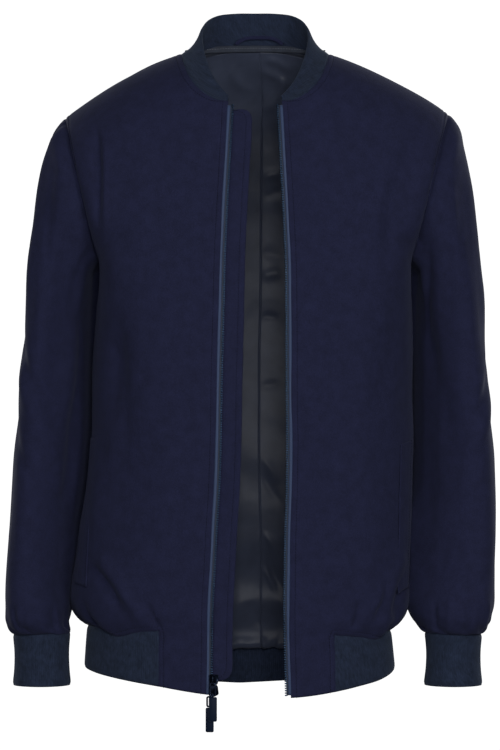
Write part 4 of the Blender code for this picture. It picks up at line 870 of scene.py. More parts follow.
# ---------------------------------------------------------------- the cloth pieces
LINES = []               # stitched lines: the piece they are on, their points, their thread
EDGES = {}               # a front's zip edge: points, directions into the panel and out of its face


def sided(place, side):
    """A place on the wearer's left, or its mirror on the right."""
    return np.array(place) * (side, 1, 1)


def aside(grid, distance):
    """The line on a grid that runs beside its first column, at a distance along the rows."""
    reach = over(grid)[0]
    return np.array([[np.interp(distance, row, line[:, k]) for k in range(3)]
                     for row, line in zip(reach, grid)])


def turned_under(edge, inner, names, sewn):
    """Two lines of sewing allowance past an edge, tucked under the named neighbours."""
    past = unit(edge - inner)
    return [laid(edge + share * sewn * past, names, -tuck * TUCK)[0]
            for share, tuck in ((0.35, 0.8), (1.0, 1.0))]


def with_allowance(grid, heights, names, top=False, far=False, sewn=SEWN):
    """A grid with sewing allowance past its first row, its last column, or both; heights grow with it."""
    if top:
        near, end = turned_under(grid[0], grid[2], names, sewn)
        grid = np.concatenate([end[None], near[None], grid])
        heights = [np.concatenate([h[:1], h[:1], h]) for h in heights]
    if far:
        near, end = turned_under(grid[:, -1], grid[:, -3], names, sewn)
        grid = np.concatenate([grid, near[:, None], end[:, None]], axis=1)
        heights = [np.concatenate([h, h[:, -1:], h[:, -1:]], axis=1) for h in heights]
    return grid, heights


def at_mark(places, mark):
    """The index of a mark among divided places."""
    return int(np.searchsorted(places, mark - 1e-6))


def front_grid(name, side):
    """A front with its tab as one fine grid whose lower outer corner isn't kept, with the rows of the neck
    corner, the underarm and the hem seam, and the column of the tab's edge."""
    points, triangles = cloth_side(name, CLOTH_WALL)
    row = first_row(points, triangles, sided(SHOULDER_NECK, side), sided(SHOULDER_END, side))
    (main, tab), against = walked(points, triangles, row)
    tabs = tab.shape[1] - 1
    below = main[-1:, tabs + 1:] + (tab[1:, tabs:] - tab[:1, tabs:])
    whole = np.concatenate([main, np.concatenate([tab[1:], below], axis=1)])
    keys_down, keys_across = keyed(whole, 0), keyed(main, 1)
    cell = setting("cloth").cell
    marks = [keys_down[k] for k in (0, FRONT_NECK_ROW, FRONT_UNDERARM_ROW, len(main) - 1, -1)]
    down = divided(sorted([*marks, *TOP_PLACES, *beside(marks[3], -1.0)[1:]]), cell * FRONT_DOWN)
    sides = [*beside(0.0), *beside(keys_across[tabs], -1.0), *beside(keys_across[-1], -1.0)]
    across = divided(sorted(sides), cell * FRONT_ACROSS)
    corners = [(FRONT_NECK_ROW, 0), (FRONT_UNDERARM_ROW, main.shape[1] - 1)]
    grid = finer(whole, keys_down, keys_across, down, across, corners)
    return grid, against, [at_mark(down, mark) for mark in marks[1:4]], at_mark(across, keys_across[tabs])


def front_panel(side):
    """A front from the shoulder to the hem with its tab, and the lines its neighbours are sewn along."""
    name = "front_left" if side > 0 else "front_right"
    grid, against, (corner, underarm, seam), tab_column = front_grid(name, side)
    keep = np.ones((grid.shape[0] - 1, grid.shape[1] - 1), bool)
    keep[seam:, tab_column:] = False
    height = CREASE_DEPTH * creased(grid[..., 0], grid[..., 2], FRONT_CREASES[side])
    height = height + swell(grid, "front", side)
    shoulder, zip_side, armhole = grid[0], grid[:, 0], grid[:underarm + 1, -1]
    relief = np.zeros(grid.shape[:2])
    for line, sink in ((shoulder, 1.0), (armhole, 1.3), (grid[underarm:seam + 1, -1], 1.0),
                       (grid[seam, tab_column:], 1.2), (grid[seam:, tab_column], 0.8)):
        relief += groove(distance_to(grid, line), SEAM_GROOVE, sink)
    relief += groove(distance_to(grid, zip_side), 1.1, 0.8)
    rib_edge = np.concatenate([grid[:seam - 1:-1, tab_column], grid[seam, tab_column + 1:]])
    for line, sink in ((zip_side, 0.55), (rib_edge, 0.5)):
        relief += groove(distance_to(grid, line) - EDGE_STITCH, STITCH_GROOVE, sink)
    above_end = smooth_step((grid[..., 2] - ARMHOLE_STITCH_END) / 4.0)
    relief += groove(distance_to(grid, armhole) - EDGE_STITCH, 0.8, 0.9) * above_end
    stitched = [aside(part, EDGE_STITCH) for part in (
        grid, grid[:underarm, ::-1], grid[seam - 3:, tab_column::-1],
        grid[seam::-1, tab_column - 3:].swapaxes(0, 1))]
    stitched[1] = stitched[1][stitched[1][:, 2] > ARMHOLE_STITCH_END]
    end = stitched[1][np.argmin(stitched[1][:, 2])]
    tack = [np.array([end + (-1.6, 0, k), end + (1.6, 0, k)]) for k in (-0.5, 0.0, 0.5)]
    LINES.extend((name + "_cloth", line, "navy_thread") for line in stitched + tack)
    EDGES[side] = zip_edge(grid[corner:])
    return name, Patch(grid, height, relief, against, keep)


def zip_edge(grid):
    """Points down a front's zip edge, with directions into the panel and out of its face."""
    inward = unit(grid[:, 4] - grid[:, 0])
    outward = unit(np.cross(inward, np.gradient(grid[:, 0], axis=0)))
    outward *= np.where(outward[:, 1:2] > 0, -1.0, 1.0)
    return grid[:, 0], inward, outward


class JACKET_OT_fronts(bpy.types.Operator):
    """Make the two fronts"""
    bl_idname = "jacket.fronts"
    bl_label = "Fronts"

    def execute(self, context):
        for side in (1, -1):
            name, patch = front_panel(side)
            shell_piece(name, [patch])
        return {"FINISHED"}


def halves_of(node, wall, neck_row, underarm_row, cell, pleated=False):
    """Both halves of a panel that spans the back, as fine grids sharing their middle column, with the rows
    of the neck and the underarm. A pleated one has close columns beside its middle and close rows in the
    part that is rolled at its foot."""
    points, triangles = cloth_side(node, wall)
    found = {}
    for side in (1, -1):
        row = first_row(points, triangles, sided(SHOULDER_NECK, side), sided(SHOULDER_END, side))
        grids, against = walked(points, triangles, row)
        found[side] = (grids[0], against)
    keys_down, keys_across = ((keyed(found[1][0], axis) + keyed(found[-1][0], axis)) / 2 for axis in (0, 1))
    neck, underarm, foot = (keys_down[k] for k in (neck_row, underarm_row, -1))
    if pleated:
        down = np.concatenate([divided([0.0, neck, underarm, foot - LINING_ROLL], cell),
                               divided([foot - LINING_ROLL, foot], 1.0)[1:]])
        across = np.concatenate([divided([0.0, *PLEAT_PLACES, LINING_FINE_TO], cell),
                                 divided([LINING_FINE_TO, keys_across[-1]], WIDER * cell)[1:]])
    else:
        down, across = divided([0.0, neck, underarm, foot], cell), divided([0.0, keys_across[-1]], cell)
    result = []
    for side in (1, -1):
        grid, against = found[side]
        mirror = found[-side][0][:, 1:GHOSTS + 1][:, ::-1].copy()
        for k in range(neck_row):
            mirror[k] = grid[k, 0] - (grid[k, 1] - grid[k, 0]) * np.arange(GHOSTS, 0, -1)[:, None]
        wide = np.concatenate([mirror, grid], axis=1)
        reach = np.concatenate([-keys_across[1:GHOSTS + 1][::-1], keys_across])
        corners = [(underarm_row, wide.shape[1] - 1), (neck_row, GHOSTS)]
        result.append((side, finer(wide, keys_down, reach, down, across, corners), against))
    return result, at_mark(down, neck), at_mark(down, underarm)


class JACKET_OT_back(bpy.types.Operator):
    """Make the back"""
    bl_idname = "jacket.back"
    bl_label = "Back"

    def execute(self, context):
        halves, neck, underarm = halves_of("back", CLOTH_WALL, BACK_NECK_ROW, BACK_UNDERARM_ROW,
                                           setting("cloth").cell * BACK_CELLS)
        patches = []
        for _, grid, against in halves:
            height = CREASE_DEPTH * creased(grid[..., 0], grid[..., 2], BACK_CREASES)
            height = height + swell(grid, "back")
            relief = np.zeros(grid.shape[:2])
            for line, sink in ((grid[0], 1.0), (grid[:underarm + 1, -1], 1.1), (grid[underarm:, -1], 1.0),
                               (grid[-1], 1.2), (grid[:neck + 1, 0], 1.0)):
                relief += groove(distance_to(grid, line), BACK_SEAM_GROOVE, sink)
            patches.append(Patch(grid, height, relief, against))
        shell_piece("back", patches)
        return {"FINISHED"}


def tube(node, wall, start, columns, cell_down):
    """A tube of cloth as a fine grid, its last column the same as its first. columns gives their number
    for a girth."""
    low, high = (np.array(corner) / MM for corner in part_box(node))
    points, triangles = cloth_side(node, wall, (low + high)[:2] / 2)
    (grid, *_), against = walked(points, triangles, first_ring(points, triangles, np.array(start)))
    keys_down, keys_across = keyed(grid, 0), keyed(grid, 1)
    foot, girth = keys_down[-1], keys_across[-1]
    before, after = slice(-1 - GHOSTS, -1), slice(1, 1 + GHOSTS)
    wide = np.concatenate([grid[:, before], grid, grid[:, after]], axis=1)
    reach = np.concatenate([keys_across[before] - girth, keys_across, keys_across[after] + girth])
    ends = [0.0, *END_PLACES]
    down = divided(ends + [foot - place for place in reversed(ends)], cell_down)
    fine = finer(wide, keys_down, reach, down, np.linspace(0.0, girth, columns(girth) + 1))
    fine[:, -1] = fine[:, 0]
    return fine, against


class JACKET_OT_sleeves(bpy.types.Operator):
    """Make the two sleeves"""
    bl_idname = "jacket.sleeves"
    bl_label = "Sleeves"

    def execute(self, context):
        cell = setting("cloth").cell * SLEEVE_CELLS
        for side in (1, -1):
            name, front = ("sleeve_left", "front_left") if side > 0 else ("sleeve_right", "front_right")
            grid, against = tube(name, CLOTH_WALL, sided(UNDERARM, side), lambda n: math.ceil(n / cell), cell)
            way = grid - grid[:, :-1].mean(axis=1, keepdims=True)
            turn = np.arctan2(-way[..., 1], -way[..., 0] * side)
            turn = np.where(turn < -math.pi / 2, turn + 2 * math.pi, turn)
            height = CREASE_DEPTH * creased(turn * SLEEVE_RADIUS * side, grid[..., 2], SLEEVE_CREASES[side])
            height += swell(grid, "sleeve", side)
            relief = groove(distance_to(grid, grid[0]), 1.5, 1.1)
            relief += groove(distance_to(grid, grid[-1]), 1.8, 1.3)
            neighbours = (front + "_cloth", "back_cloth")
            grid, (height, relief) = with_allowance(grid, (height, relief), neighbours, top=True)
            shell_piece(name, [Patch(grid, height, relief, against)])
        return {"FINISHED"}


# ---------------------------------------------------------------- geometry nodes
TREES = {}               # each tree, made once


def new_tree(name, sockets):
    """A Geometry Nodes tree with named inputs beside its geometry, and what its group input gives."""
    tree = bpy.data.node_groups.new(name, "GeometryNodeTree")
    for label, kind in {"Geometry": "Geometry", **sockets, "Finish": "Material"}.items():
        tree.interface.new_socket(label, in_out="INPUT", socket_type="NodeSocket" + kind)
    tree.interface.new_socket("Geometry", in_out="OUTPUT", socket_type="NodeSocketGeometry")
    return tree, add(tree, "NodeGroupInput").outputs


def ended(tree, geometry, given):
    """Ends a tree with real meshes in their finish."""
    real = add(tree, "GeometryNodeRealizeInstances", {"Geometry": geometry}).outputs[0]
    dressed = add(tree, "GeometryNodeSetMaterial", {"Geometry": real, "Material": given["Finish"]}).outputs[0]
    add(tree, "NodeGroupOutput", {0: dressed})
    return tree


def rib_tree():
    """Geometry nodes that raise ribs on a mesh whose attribute says how far across the knit a point lies."""
    tree, given = new_tree("raise_ribs", {"Pitch": "Float", "Depth": "Float"})
    across, fade = (add(tree, "GeometryNodeInputNamedAttribute", {"Name": name}, data_type="FLOAT").outputs[0]
                    for name in ("across", "fade"))
    height = across
    for operation, other in (("DIVIDE", given["Pitch"]), ("MULTIPLY", 2 * math.pi), ("COSINE", 0.0),
                             ("MULTIPLY", given["Depth"]), ("MULTIPLY", 0.5), ("MULTIPLY", fade)):
        height = add(tree, "ShaderNodeMath", {0: height, 1: other}, operation=operation).outputs[0]
    normal = add(tree, "GeometryNodeInputNormal").outputs[0]
    offset = add(tree, "ShaderNodeVectorMath", {0: normal, "Scale": height}, operation="SCALE").outputs[0]
    moved = add(tree, "GeometryNodeSetPosition", {"Geometry": given["Geometry"], "Offset": offset}).outputs[0]
    return ended(tree, moved, given)


def repeat_tree():
    """Geometry nodes that set copies of a unit along guide lines, its x along the line and its z outward."""
    tree, given = new_tree("repeat_along", {"Unit": "Object", "Pitch": "Float"})
    curve = add(tree, "GeometryNodeMeshToCurve", {"Mesh": given["Geometry"]}).outputs[0]
    evenly = add(tree, "GeometryNodeResampleCurve", {"Curve": curve, "Length": given["Pitch"]},
                 mode="LENGTH").outputs[0]
    outward = add(tree, "GeometryNodeInputNamedAttribute", {"Name": "outward"},
                  data_type="FLOAT_VECTOR").outputs[0]
    along = add(tree, "GeometryNodeInputTangent").outputs[0]
    first = add(tree, "FunctionNodeAlignRotationToVector", {"Vector": along}, axis="X").outputs[0]
    turned = add(tree, "FunctionNodeAlignRotationToVector", {"Rotation": first, "Vector": outward},
                 axis="Z", pivot_axis="X").outputs[0]
    unit_object = add(tree, "GeometryNodeObjectInfo", {"Object": given["Unit"]}).outputs["Geometry"]
    copies = add(tree, "GeometryNodeInstanceOnPoints",
                 {"Points": evenly, "Instance": unit_object, "Rotation": turned}).outputs[0]
    return ended(tree, copies, given)


def grown(obj, maker, values):
    """Gives an object a Geometry Nodes modifier with its named inputs set."""
    if maker not in TREES:
        TREES[maker] = maker()
    tree = TREES[maker]
    modifier = obj.modifiers.new(tree.name, "NODES")
    modifier.node_group = tree
    for item in tree.interface.items_tree:
        if item.in_out == "INPUT" and item.name in values:
            modifier[item.identifier] = values[item.name]


# ---------------------------------------------------------------- rib knit
class JACKET_OT_ribs(bpy.types.Operator):
    """Make the collar, the cuffs and the hem of rib knit"""
    bl_idname = "jacket.ribs"
    bl_label = "Rib knit"

    def execute(self, context):
        for side in (1, -1):
            name, sleeve = ("cuff_left", "sleeve_left") if side > 0 else ("cuff_right", "sleeve_right")
            low, high = (np.array(corner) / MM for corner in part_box(name))
            place = ((low if side > 0 else high)[0], (low + high)[1] / 2, high[2])
            grid, against = tube(name, RIB_WALL, place, self.columns, RIB_CELL)
            self.rib(name, grid, against, (sleeve + "_cloth",))
        panels = ("front_left_cloth", "front_right_cloth", "back_cloth")
        far_tab = sided(TAB_CORNER, -1) + TAB_BESIDE
        self.rib("hem_rib", *self.band("hem_rib", sided(TAB_CORNER, 1), far_tab, HEM_CELL), panels, ends=True)
        grid, against = self.band("collar", sided(COLLAR_TIP, 1), sided(COLLAR_TIP, -1), COLLAR_CELL)
        self.rib("collar", grid[::-1], not against, panels, sewn=COLLAR_SEWN)
        return {"FINISHED"}

    def columns(self, width):
        """Mesh columns across a width, for a whole number of ribs."""
        return PER_RIB * round(width / setting("knit").pitch)

    def band(self, node, start, end, cell):
        """An open band of knit as a fine grid."""
        points, triangles = cloth_side(node, RIB_WALL)
        (grid, *_), against = walked(points, triangles, first_row(points, triangles, start, end))
        keys_down, keys_across = keyed(grid, 0), keyed(grid, 1)
        across = np.linspace(0.0, keys_across[-1], self.columns(keys_across[-1]) + 1)
        return finer(grid, keys_down, keys_across, divided([0.0, keys_down[-1]], cell), across), against

    def rib(self, node, grid, against, names, ends=False, sewn=SEWN):
        """Makes a knit piece with raised ribs, whose sewn edge is the grid's first row."""
        knit, yarn = setting("knit"), finished("heather_rib_knit")
        from_seam = over(grid)[1]
        from_fold = from_seam.max(axis=0) - from_seam
        height = swell(grid, "rib")
        relief = groove(from_seam, 2.2, 0.8) + groove(from_fold, 2.4, 1.0)
        fade = smooth_step(from_seam / 3.0) * smooth_step(from_fold / 3.0)
        across = np.broadcast_to(np.arange(grid.shape[1]) * knit.pitch / PER_RIB * MM, grid.shape[:2])
        values = (height, relief, fade, across)
        if ends:
            grid, values = with_allowance(grid, values, names, far=True)
            grid, values = with_allowance(grid[:, ::-1], [x[:, ::-1] for x in values], names, far=True)
            against = not against
        grid, (height, relief, fade, across) = with_allowance(grid, values, names, top=True, sewn=sewn)
        patch = Patch(grid, height, relief, against)
        obj = sheet_object(node + "_knit", [patch], RIB_WALL, yarn, {"across": across, "fade": fade})
        grown(obj, rib_tree, {"Pitch": knit.pitch * MM, "Depth": knit.depth * MM, "Finish": yarn})
        as_cloth(obj, node)


# ---------------------------------------------------------------- lining, guard, welts
NECKLINE = []            # the lining's edge inside the neck, from one shoulder to the other


def flattened(halves, neck):
    """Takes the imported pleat's bulge out of both halves, so that its folded edge alone shows."""
    rows = np.arange(len(halves[0][1]))
    runs = [over(grid)[0] for _, grid, _ in halves]
    columns = [np.argmax(run >= PLEAT_REACH, axis=1) for run in runs]
    sides = [grid[rows, column, 1] for (_, grid, _), column in zip(halves, columns)]
    middle = sum(sides) / 2
    share = smooth_step((rows - neck) / 6.0)[:, None]
    for (_, grid, _), run, column, depth in zip(halves, runs, columns, sides):
        part = run / run[rows, column][:, None]
        level = middle[:, None] + (depth - middle)[:, None] * part
        grid[..., 1] += np.where(part < 1.0, (level - grid[..., 1]) * share, 0.0)


def bump_at(distance, middle, width):
    """A smooth bump of height 1 at a distance from an edge."""
    return np.exp(-((distance - middle) / width) ** 2)


def lining_half(side, grid, against, neck):
    """Half of the lining: its pleat pulled into place, its folds, and its gathered lower edge rolled up."""
    pull = np.interp(-grid[:, 0, 2], -PLEAT[:, 1], PLEAT[:, 0]) - grid[:, 0, 0]
    pull[:neck] = 0.0
    from_pleat, below = over(grid)
    grid[..., 0] += pull[:, None] * bump_at(from_pleat, 0.0, 45.0)
    above = below.max(axis=0) - below
    # Its height towards the front: folds, a lift that keeps it off the back, and the pleat's folded edge.
    folds = creased(grid[..., 0], grid[..., 2], LINING_CREASES)
    towards = np.where(folds > 0, folds, 0.7 * folds) + swell(grid, "lining")
    towards += 1.2 * smooth_step(below / 14.0)
    pleated = smooth_step((np.arange(len(grid)) - neck) / 3.0)[:, None]
    towards -= 1.1 * pleated * bump_at(from_pleat, 0.0, 0.8)
    if side < 0:
        towards += 0.4 * pleated * np.exp(-from_pleat / 4.0)
    # Above the foot: gathers, the stitched groove they start from, and the roll below it.
    gathers = swell(grid * (1.0, 0.0, 0.12), "gathers") * (1.0 + 0.8 * smooth_step(grid[..., 0] / 20.0))
    towards += (2.2 + 0.9 * gathers) * bump_at(above, 13.0, 5.5)
    towards -= 1.2 * bump_at(above, 6.2, 1.5)
    towards += (2.4 + 0.3 * gathers) * bump_at(above, 2.6, 2.2)
    return Patch(grid + UP * (4.2 * bump_at(above, 0.0, 12.0))[..., None], -towards, 0.0, against)


class JACKET_OT_lining(bpy.types.Operator):
    """Make the satin lining inside the back"""
    bl_idname = "jacket.lining"
    bl_label = "Lining"

    def execute(self, context):
        halves, neck, _ = halves_of("lining_back", LINING_WALL, LINING_NECK_ROW, LINING_UNDERARM_ROW,
                                    LINING_CELL, pleated=True)
        flattened(halves, neck)
        patches = [lining_half(*half, neck) for half in halves]
        obj = sheet_object("lining_satin", patches, LINING_WALL, finished("satin_lining"))
        left, right = (aside(patch.points[:neck], 2.0) for patch in patches)
        NECKLINE.append(np.concatenate([left, right[::-1]]))
        as_cloth(obj, "lining_back")
        return {"FINISHED"}


def strip(node, wall, corners):
    """A narrow piece as a fine grid between its two long edges, laid on its packed surface. corners are
    the tops of the two edges, then their feet; without them the piece's own four corners are used."""
    points, triangles = cloth_side(node, wall)
    if corners is None:
        loop = points[rims(triangles)[0]]
        spread = loop - loop.mean(axis=0)
        along, across = np.linalg.svd(spread, full_matrices=False)[2][:2]
        along, across = along * np.sign(along[2]), across * np.sign(across[0])
        corners = [loop[np.argmax(spread @ (along * i + 4 * across * j))] for i, j in
                   ((1, -1), (1, 1), (-1, -1), (-1, 1))]
    edges = [points[first_row(points, triangles, np.array(a), np.array(b))]
             for a, b in zip(corners[:2], corners[2:])]
    length = min(running(edge)[-1] for edge in edges)
    shares = np.linspace(0.0, 1.0, math.ceil(length / STRIP_DOWN) + 1)
    near, far = (spline(running(edge) / running(edge)[-1], edge, shares) for edge in edges)
    width = np.linalg.norm(far - near, axis=1).max()
    across = np.linspace(0.0, 1.0, math.ceil(width / STRIP_ACROSS) + 1)[None, :, None]
    grid = near[:, None] * (1 - across) + far[:, None] * across
    surface = BVHTree.FromPolygons([Vector(p) for p in points], triangles.tolist())
    for i, j in np.ndindex(grid.shape[:2]):
        if 0 < j < grid.shape[1] - 1:
            grid[i, j] = surface.find_nearest(Vector(grid[i, j]))[0]
    a, b, c = (points[triangles[0][k]] for k in range(3))
    turned = np.cross(grid[0, 1] - grid[0, 0], grid[1, 0] - grid[0, 0])
    return grid, float(turned @ np.cross(b - a, c - a)) < 0


class JACKET_OT_guard(bpy.types.Operator):
    """Make the zip guard and the pocket welts"""
    bl_idname = "jacket.guard"
    bl_label = "Guard and welts"

    def execute(self, context):
        for name, wall, corners, inset in (
            ("zip_guard", CLOTH_WALL, GUARD_CORNERS, GUARD_STITCH),
            ("pocket_welt_left", WELT_WALL, None, WELT_STITCH),
            ("pocket_welt_right", WELT_WALL, None, WELT_STITCH),
        ):
            grid, against = strip(name, wall, corners)
            relief = np.zeros(grid.shape[:2])
            for edge in (grid[:, 0], grid[:, -1]):
                relief += groove(distance_to(grid, edge), 1.0, 0.5)
            relief += groove(distance_to(grid, grid[:, -1]) - inset, STITCH_GROOVE, 0.5)
            shell_piece(name, [Patch(grid, swell(grid, "strip"), relief, against)], wall)
            LINES.append((name + "_cloth", aside(grid[:, ::-1], inset), "navy_thread"))
        return {"FINISHED"}


# ---------------------------------------------------------------- inside the neck
class JACKET_OT_neck(bpy.types.Operator):
    """Make the neck tape and the hanger loop inside the back of the neck"""
    bl_idname = "jacket.neck"
    bl_label = "Neck tape and loop"

    def execute(self, context):
        self.tape()
        self.loop()
        return {"FINISHED"}

    def tape(self):
        """A folded tape over the seam of lining and collar, with its line of thread."""
        reach = running(NECKLINE[0])
        places = np.linspace(NECK_TAPE_ENDS, reach[-1] - NECK_TAPE_ENDS, NECK_TAPE_PLACES)
        line = spline(reach, NECKLINE[0], places)
        line[:, 2] += 1.0 + 3.0 * np.minimum(np.abs(line[:, 0]) / 60.0, 1.0) ** 2
        level = np.gradient(line, axis=0) * (1, 1, 0)
        inward = unit(np.cross(level, UP))
        inward *= np.sign((inward * (line.mean(axis=0) - line)).sum(axis=1, keepdims=True))
        grid = np.stack([line + above * UP + within * inward for above, within in NECK_TAPE_ROWS])
        normal = np.cross(grid[3, 1] - grid[3, 0], grid[4, 0] - grid[3, 0])
        patch = Patch(grid, swell(grid, "neck tape"), 0.0, float(normal @ inward[0]) < 0)
        obj = sheet_object("neck_tape", [patch], NECK_TAPE_WALL, finished("neck_tape_cotton"))
        LINES.append(("neck_tape", line + 0.2 * UP + 4.6 * inward, "grey_thread"))
        as_cloth(obj, None)

    def loop(self):
        """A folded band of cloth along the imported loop's arch."""
        low, high = (np.array(corner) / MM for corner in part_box("hanger_loop"))
        middle, half = (low + high) / 2, (high - low) / 2 - LOOP_RADIUS
        share = np.linspace(-1.0, 1.0, LOOP_PLACES)
        path = np.stack([
            middle[0] + half[0] * share,
            np.full(LOOP_PLACES, middle[1] - 0.8),
            low[2] + LOOP_RADIUS + 2 * half[2] * (1 - np.abs(share) ** 3.5),
        ], axis=-1)
        along = unit(np.gradient(path, axis=0))
        front = np.array([0.0, -1.0, 0.0])
        above = unit(np.cross(along, front))
        above *= np.sign(above[:, 2:3])
        band = np.array(LOOP_BAND)
        points = path[:, None] + front * band[None, :, :1] + above[:, None] * band[None, :, 1:]
        count = len(band)
        rings = np.arange(LOOP_PLACES * count).reshape(LOOP_PLACES, count)
        turned = np.roll(rings, -1, axis=1)
        faces = np.stack([rings[:-1], turned[:-1], turned[1:], rings[1:]], axis=-1).reshape(-1, 4).tolist()
        mesh = bpy.data.meshes.new("hanger_loop_band")
        mesh.from_pydata((points.reshape(-1, 3) * MM).tolist(), [],
                         faces + [rings[0, ::-1].tolist(), rings[-1].tolist()])
        shaped = bmesh.new()
        shaped.from_mesh(mesh)
        bmesh.ops.recalc_face_normals(shaped, faces=shaped.faces)
        shaped.to_mesh(mesh)
        shaped.free()
        mesh.shade_smooth()
        obj = added("hanger_loop_band", mesh, finished("brushed_navy_cloth"))
        stands_for(obj, "hanger_loop", BODY)


# ---------------------------------------------------------------- what repeats along a line
def repeated(name, lines, unit_mesh, pitch, finish_name, node):
    """Copies of a unit along lines, each given as points and outward directions, as one plain mesh."""
    guide = bpy.data.meshes.new(name)
    points = np.concatenate([line for line, _ in lines])
    starts = np.cumsum([0] + [len(line) for line, _ in lines])
    pairs = [(i, i + 1) for a, b in zip(starts, starts[1:]) for i in range(a, b - 1)]
    guide.from_pydata((points * MM).tolist(), pairs, [])
    layer = guide.attributes.new("outward", "FLOAT_VECTOR", "POINT")
    layer.data.foreach_set("vector", np.concatenate([out for _, out in lines]).astype(np.float32).ravel())
    obj = added(name, guide)
    pattern = bpy.data.objects.new(name + "_unit", unit_mesh)
    grown(obj, repeat_tree, {"Unit": pattern, "Pitch": pitch * MM, "Finish": finished(finish_name)})
    made_plain(obj)
    obj.data.shade_smooth()
    bpy.data.objects.remove(pattern)
    stands_for(obj, node, BODY)


def stitch_mesh(length):
    """One stitch: a short rounded length of thread."""
    mesh = bmesh.new()
    bmesh.ops.create_icosphere(mesh, subdivisions=1, radius=1.0)
    bmesh.ops.scale(mesh, vec=Vector((length / 2, *THREAD)) * MM, verts=mesh.verts)
    return mesh_of("stitch", mesh)


def tooth_mesh():
    """One zip tooth: a rounded block across the tape's edge."""
    mesh = bmesh.new()
    bmesh.ops.create_cube(mesh, size=1.0)
    bmesh.ops.scale(mesh, vec=Vector((TOOTH_LENGTH, TEETH_WIDTH, TOOTH_HEIGHT)) * MM, verts=mesh.verts)
    bmesh.ops.bevel(mesh, geom=mesh.edges[:], offset=TOOTH_ROUND * MM, segments=2, affect="EDGES",
                    profile=0.5)
    return mesh_of("tooth", mesh)


class JACKET_OT_zip(bpy.types.Operator):
    """Make the zip's tapes and teeth"""
    bl_idname = "jacket.zip"
    bl_label = "Zip"

    def execute(self, context):
        teeth = tooth_mesh()
        places, raised = np.array(TAPE_SECTION).T
        for side in (1, -1):
            name = "left" if side > 0 else "right"
            edge, inward, outward = EDGES[side]
            heights = np.linspace(ZIP_TOP_Z, ZIP_BOTTOM_Z, TAPE_ROWS)
            edge, inward, outward = (spline(-edge[:, 2], part, -heights) for part in (edge, inward, outward))
            inward, outward = unit(inward), unit(outward)
            face = edge - outward * TAPE_SET_BACK
            grid = face[:, None] + inward[:, None] * places[None, :, None]
            grid += outward[:, None] * raised[None, :, None]
            normal = np.cross(grid[0, 1] - grid[0, 0], grid[1, 0] - grid[0, 0])
            patch = Patch(grid, 0.0, 0.0, float(normal @ outward[0]) > 0)
            tape = sheet_object(f"zip_tape_{name}_weave", [patch], ZIP_TAPE_WALL, finished("woven_zip_tape"))
            as_cloth(tape, f"zip_tape_{name}")
            middle = face - inward * (TAPE_SHOWN + TEETH_WIDTH / 2) + outward * TEETH_RAISED
            repeated(f"zip_teeth_{name}", [(middle, outward)], teeth, setting("zip").pitch, "plated_teeth",
                     f"zip_tape_{name}")
        return {"FINISHED"}


class JACKET_OT_stitches(bpy.types.Operator):
    """Sew the visible lines of stitching"""
    bl_idname = "jacket.stitches"
    bl_label = "Stitches"

    def execute(self, context):
        step = setting("cloth").stitch
        unit_mesh = stitch_mesh(step * STITCH_SHARE)
        for thread in ("navy_thread", "grey_thread"):
            lines = [laid(points, (name,), STITCH_LIFT) for name, points, colour in LINES if colour == thread]
            repeated("stitches_" + thread, lines, unit_mesh, step, thread, None)
        return {"FINISHED"}


class JACKET_OT_hardware(bpy.types.Operator):
    """Round the edges of the sliders and pulls"""
    bl_idname = "jacket.hardware"
    bl_label = "Hardware"

    def execute(self, context):
        for kind, slot, material, fuller in (
            ("slider", "dark_plated_metal", "plated_slider", 0.0),
            ("pull_link", "dark_plated_metal", "plated_slider", 0.55),
            ("pull_grip", "coated_grip", "moulded_grip", 0.3),
        ):
            for place in ("upper", "lower"):
                body = BODY if kind == "slider" else f"pull_{place}"
                self.polished(f"{kind}_{place}", body, slot, material, fuller)
        return {"FINISHED"}

    def polished(self, node, body, slot, material, fuller):
        """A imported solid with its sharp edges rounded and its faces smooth, fuller by that many millimetres.
        The links are too thin to be rounded."""
        mesh = bmesh.new()
        mesh.from_mesh(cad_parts[node].data)
        bmesh.ops.remove_doubles(mesh, verts=mesh.verts, dist=DOUBLES * MM)
        mesh.normal_update()
        for vert in mesh.verts:
            vert.co += vert.normal * fuller * MM
        if not node.startswith("pull_link"):
            bmesh.ops.dissolve_limit(mesh, angle_limit=FLAT_EDGE, verts=mesh.verts, edges=mesh.edges)
            sharp = [e for e in mesh.edges if len(e.link_faces) == 2 and e.calc_face_angle() > SHARP_EDGE]
            bmesh.ops.bevel(mesh, geom=sharp, offset=METAL_ROUND * MM, segments=3, affect="EDGES",
                            clamp_overlap=True)
        data = mesh_of(node + "_finished", mesh)
        data.set_sharp_from_angle(angle=SMOOTH_EDGE)
        stands_for(added(node + "_finished", data, finished(material)), node, body)


# ---------------------------------------------------------------- stage
LIGHTS = (               # name, place, size in metres, power in watts
    ("key", (1.9, -3.4, 0.5), 1.3, 28.0),
    ("fill", (-2.3, -3.2, 0.3), 1.8, 15.0),
    ("front", (0.2, -4.0, 0.2), 1.2, 56.0),
    ("back_left", (2.6, 3.2, 0.8), 2.4, 66.0),
    ("back_right", (-2.6, 3.2, 0.4), 2.4, 56.0),
)
GARMENT_MIDDLE = Vector((0.0, 0.0, -0.37))
FLOOR_Z, FLOOR_RADIUS, DOME_RADIUS = -1.45, 4.0, 14.0


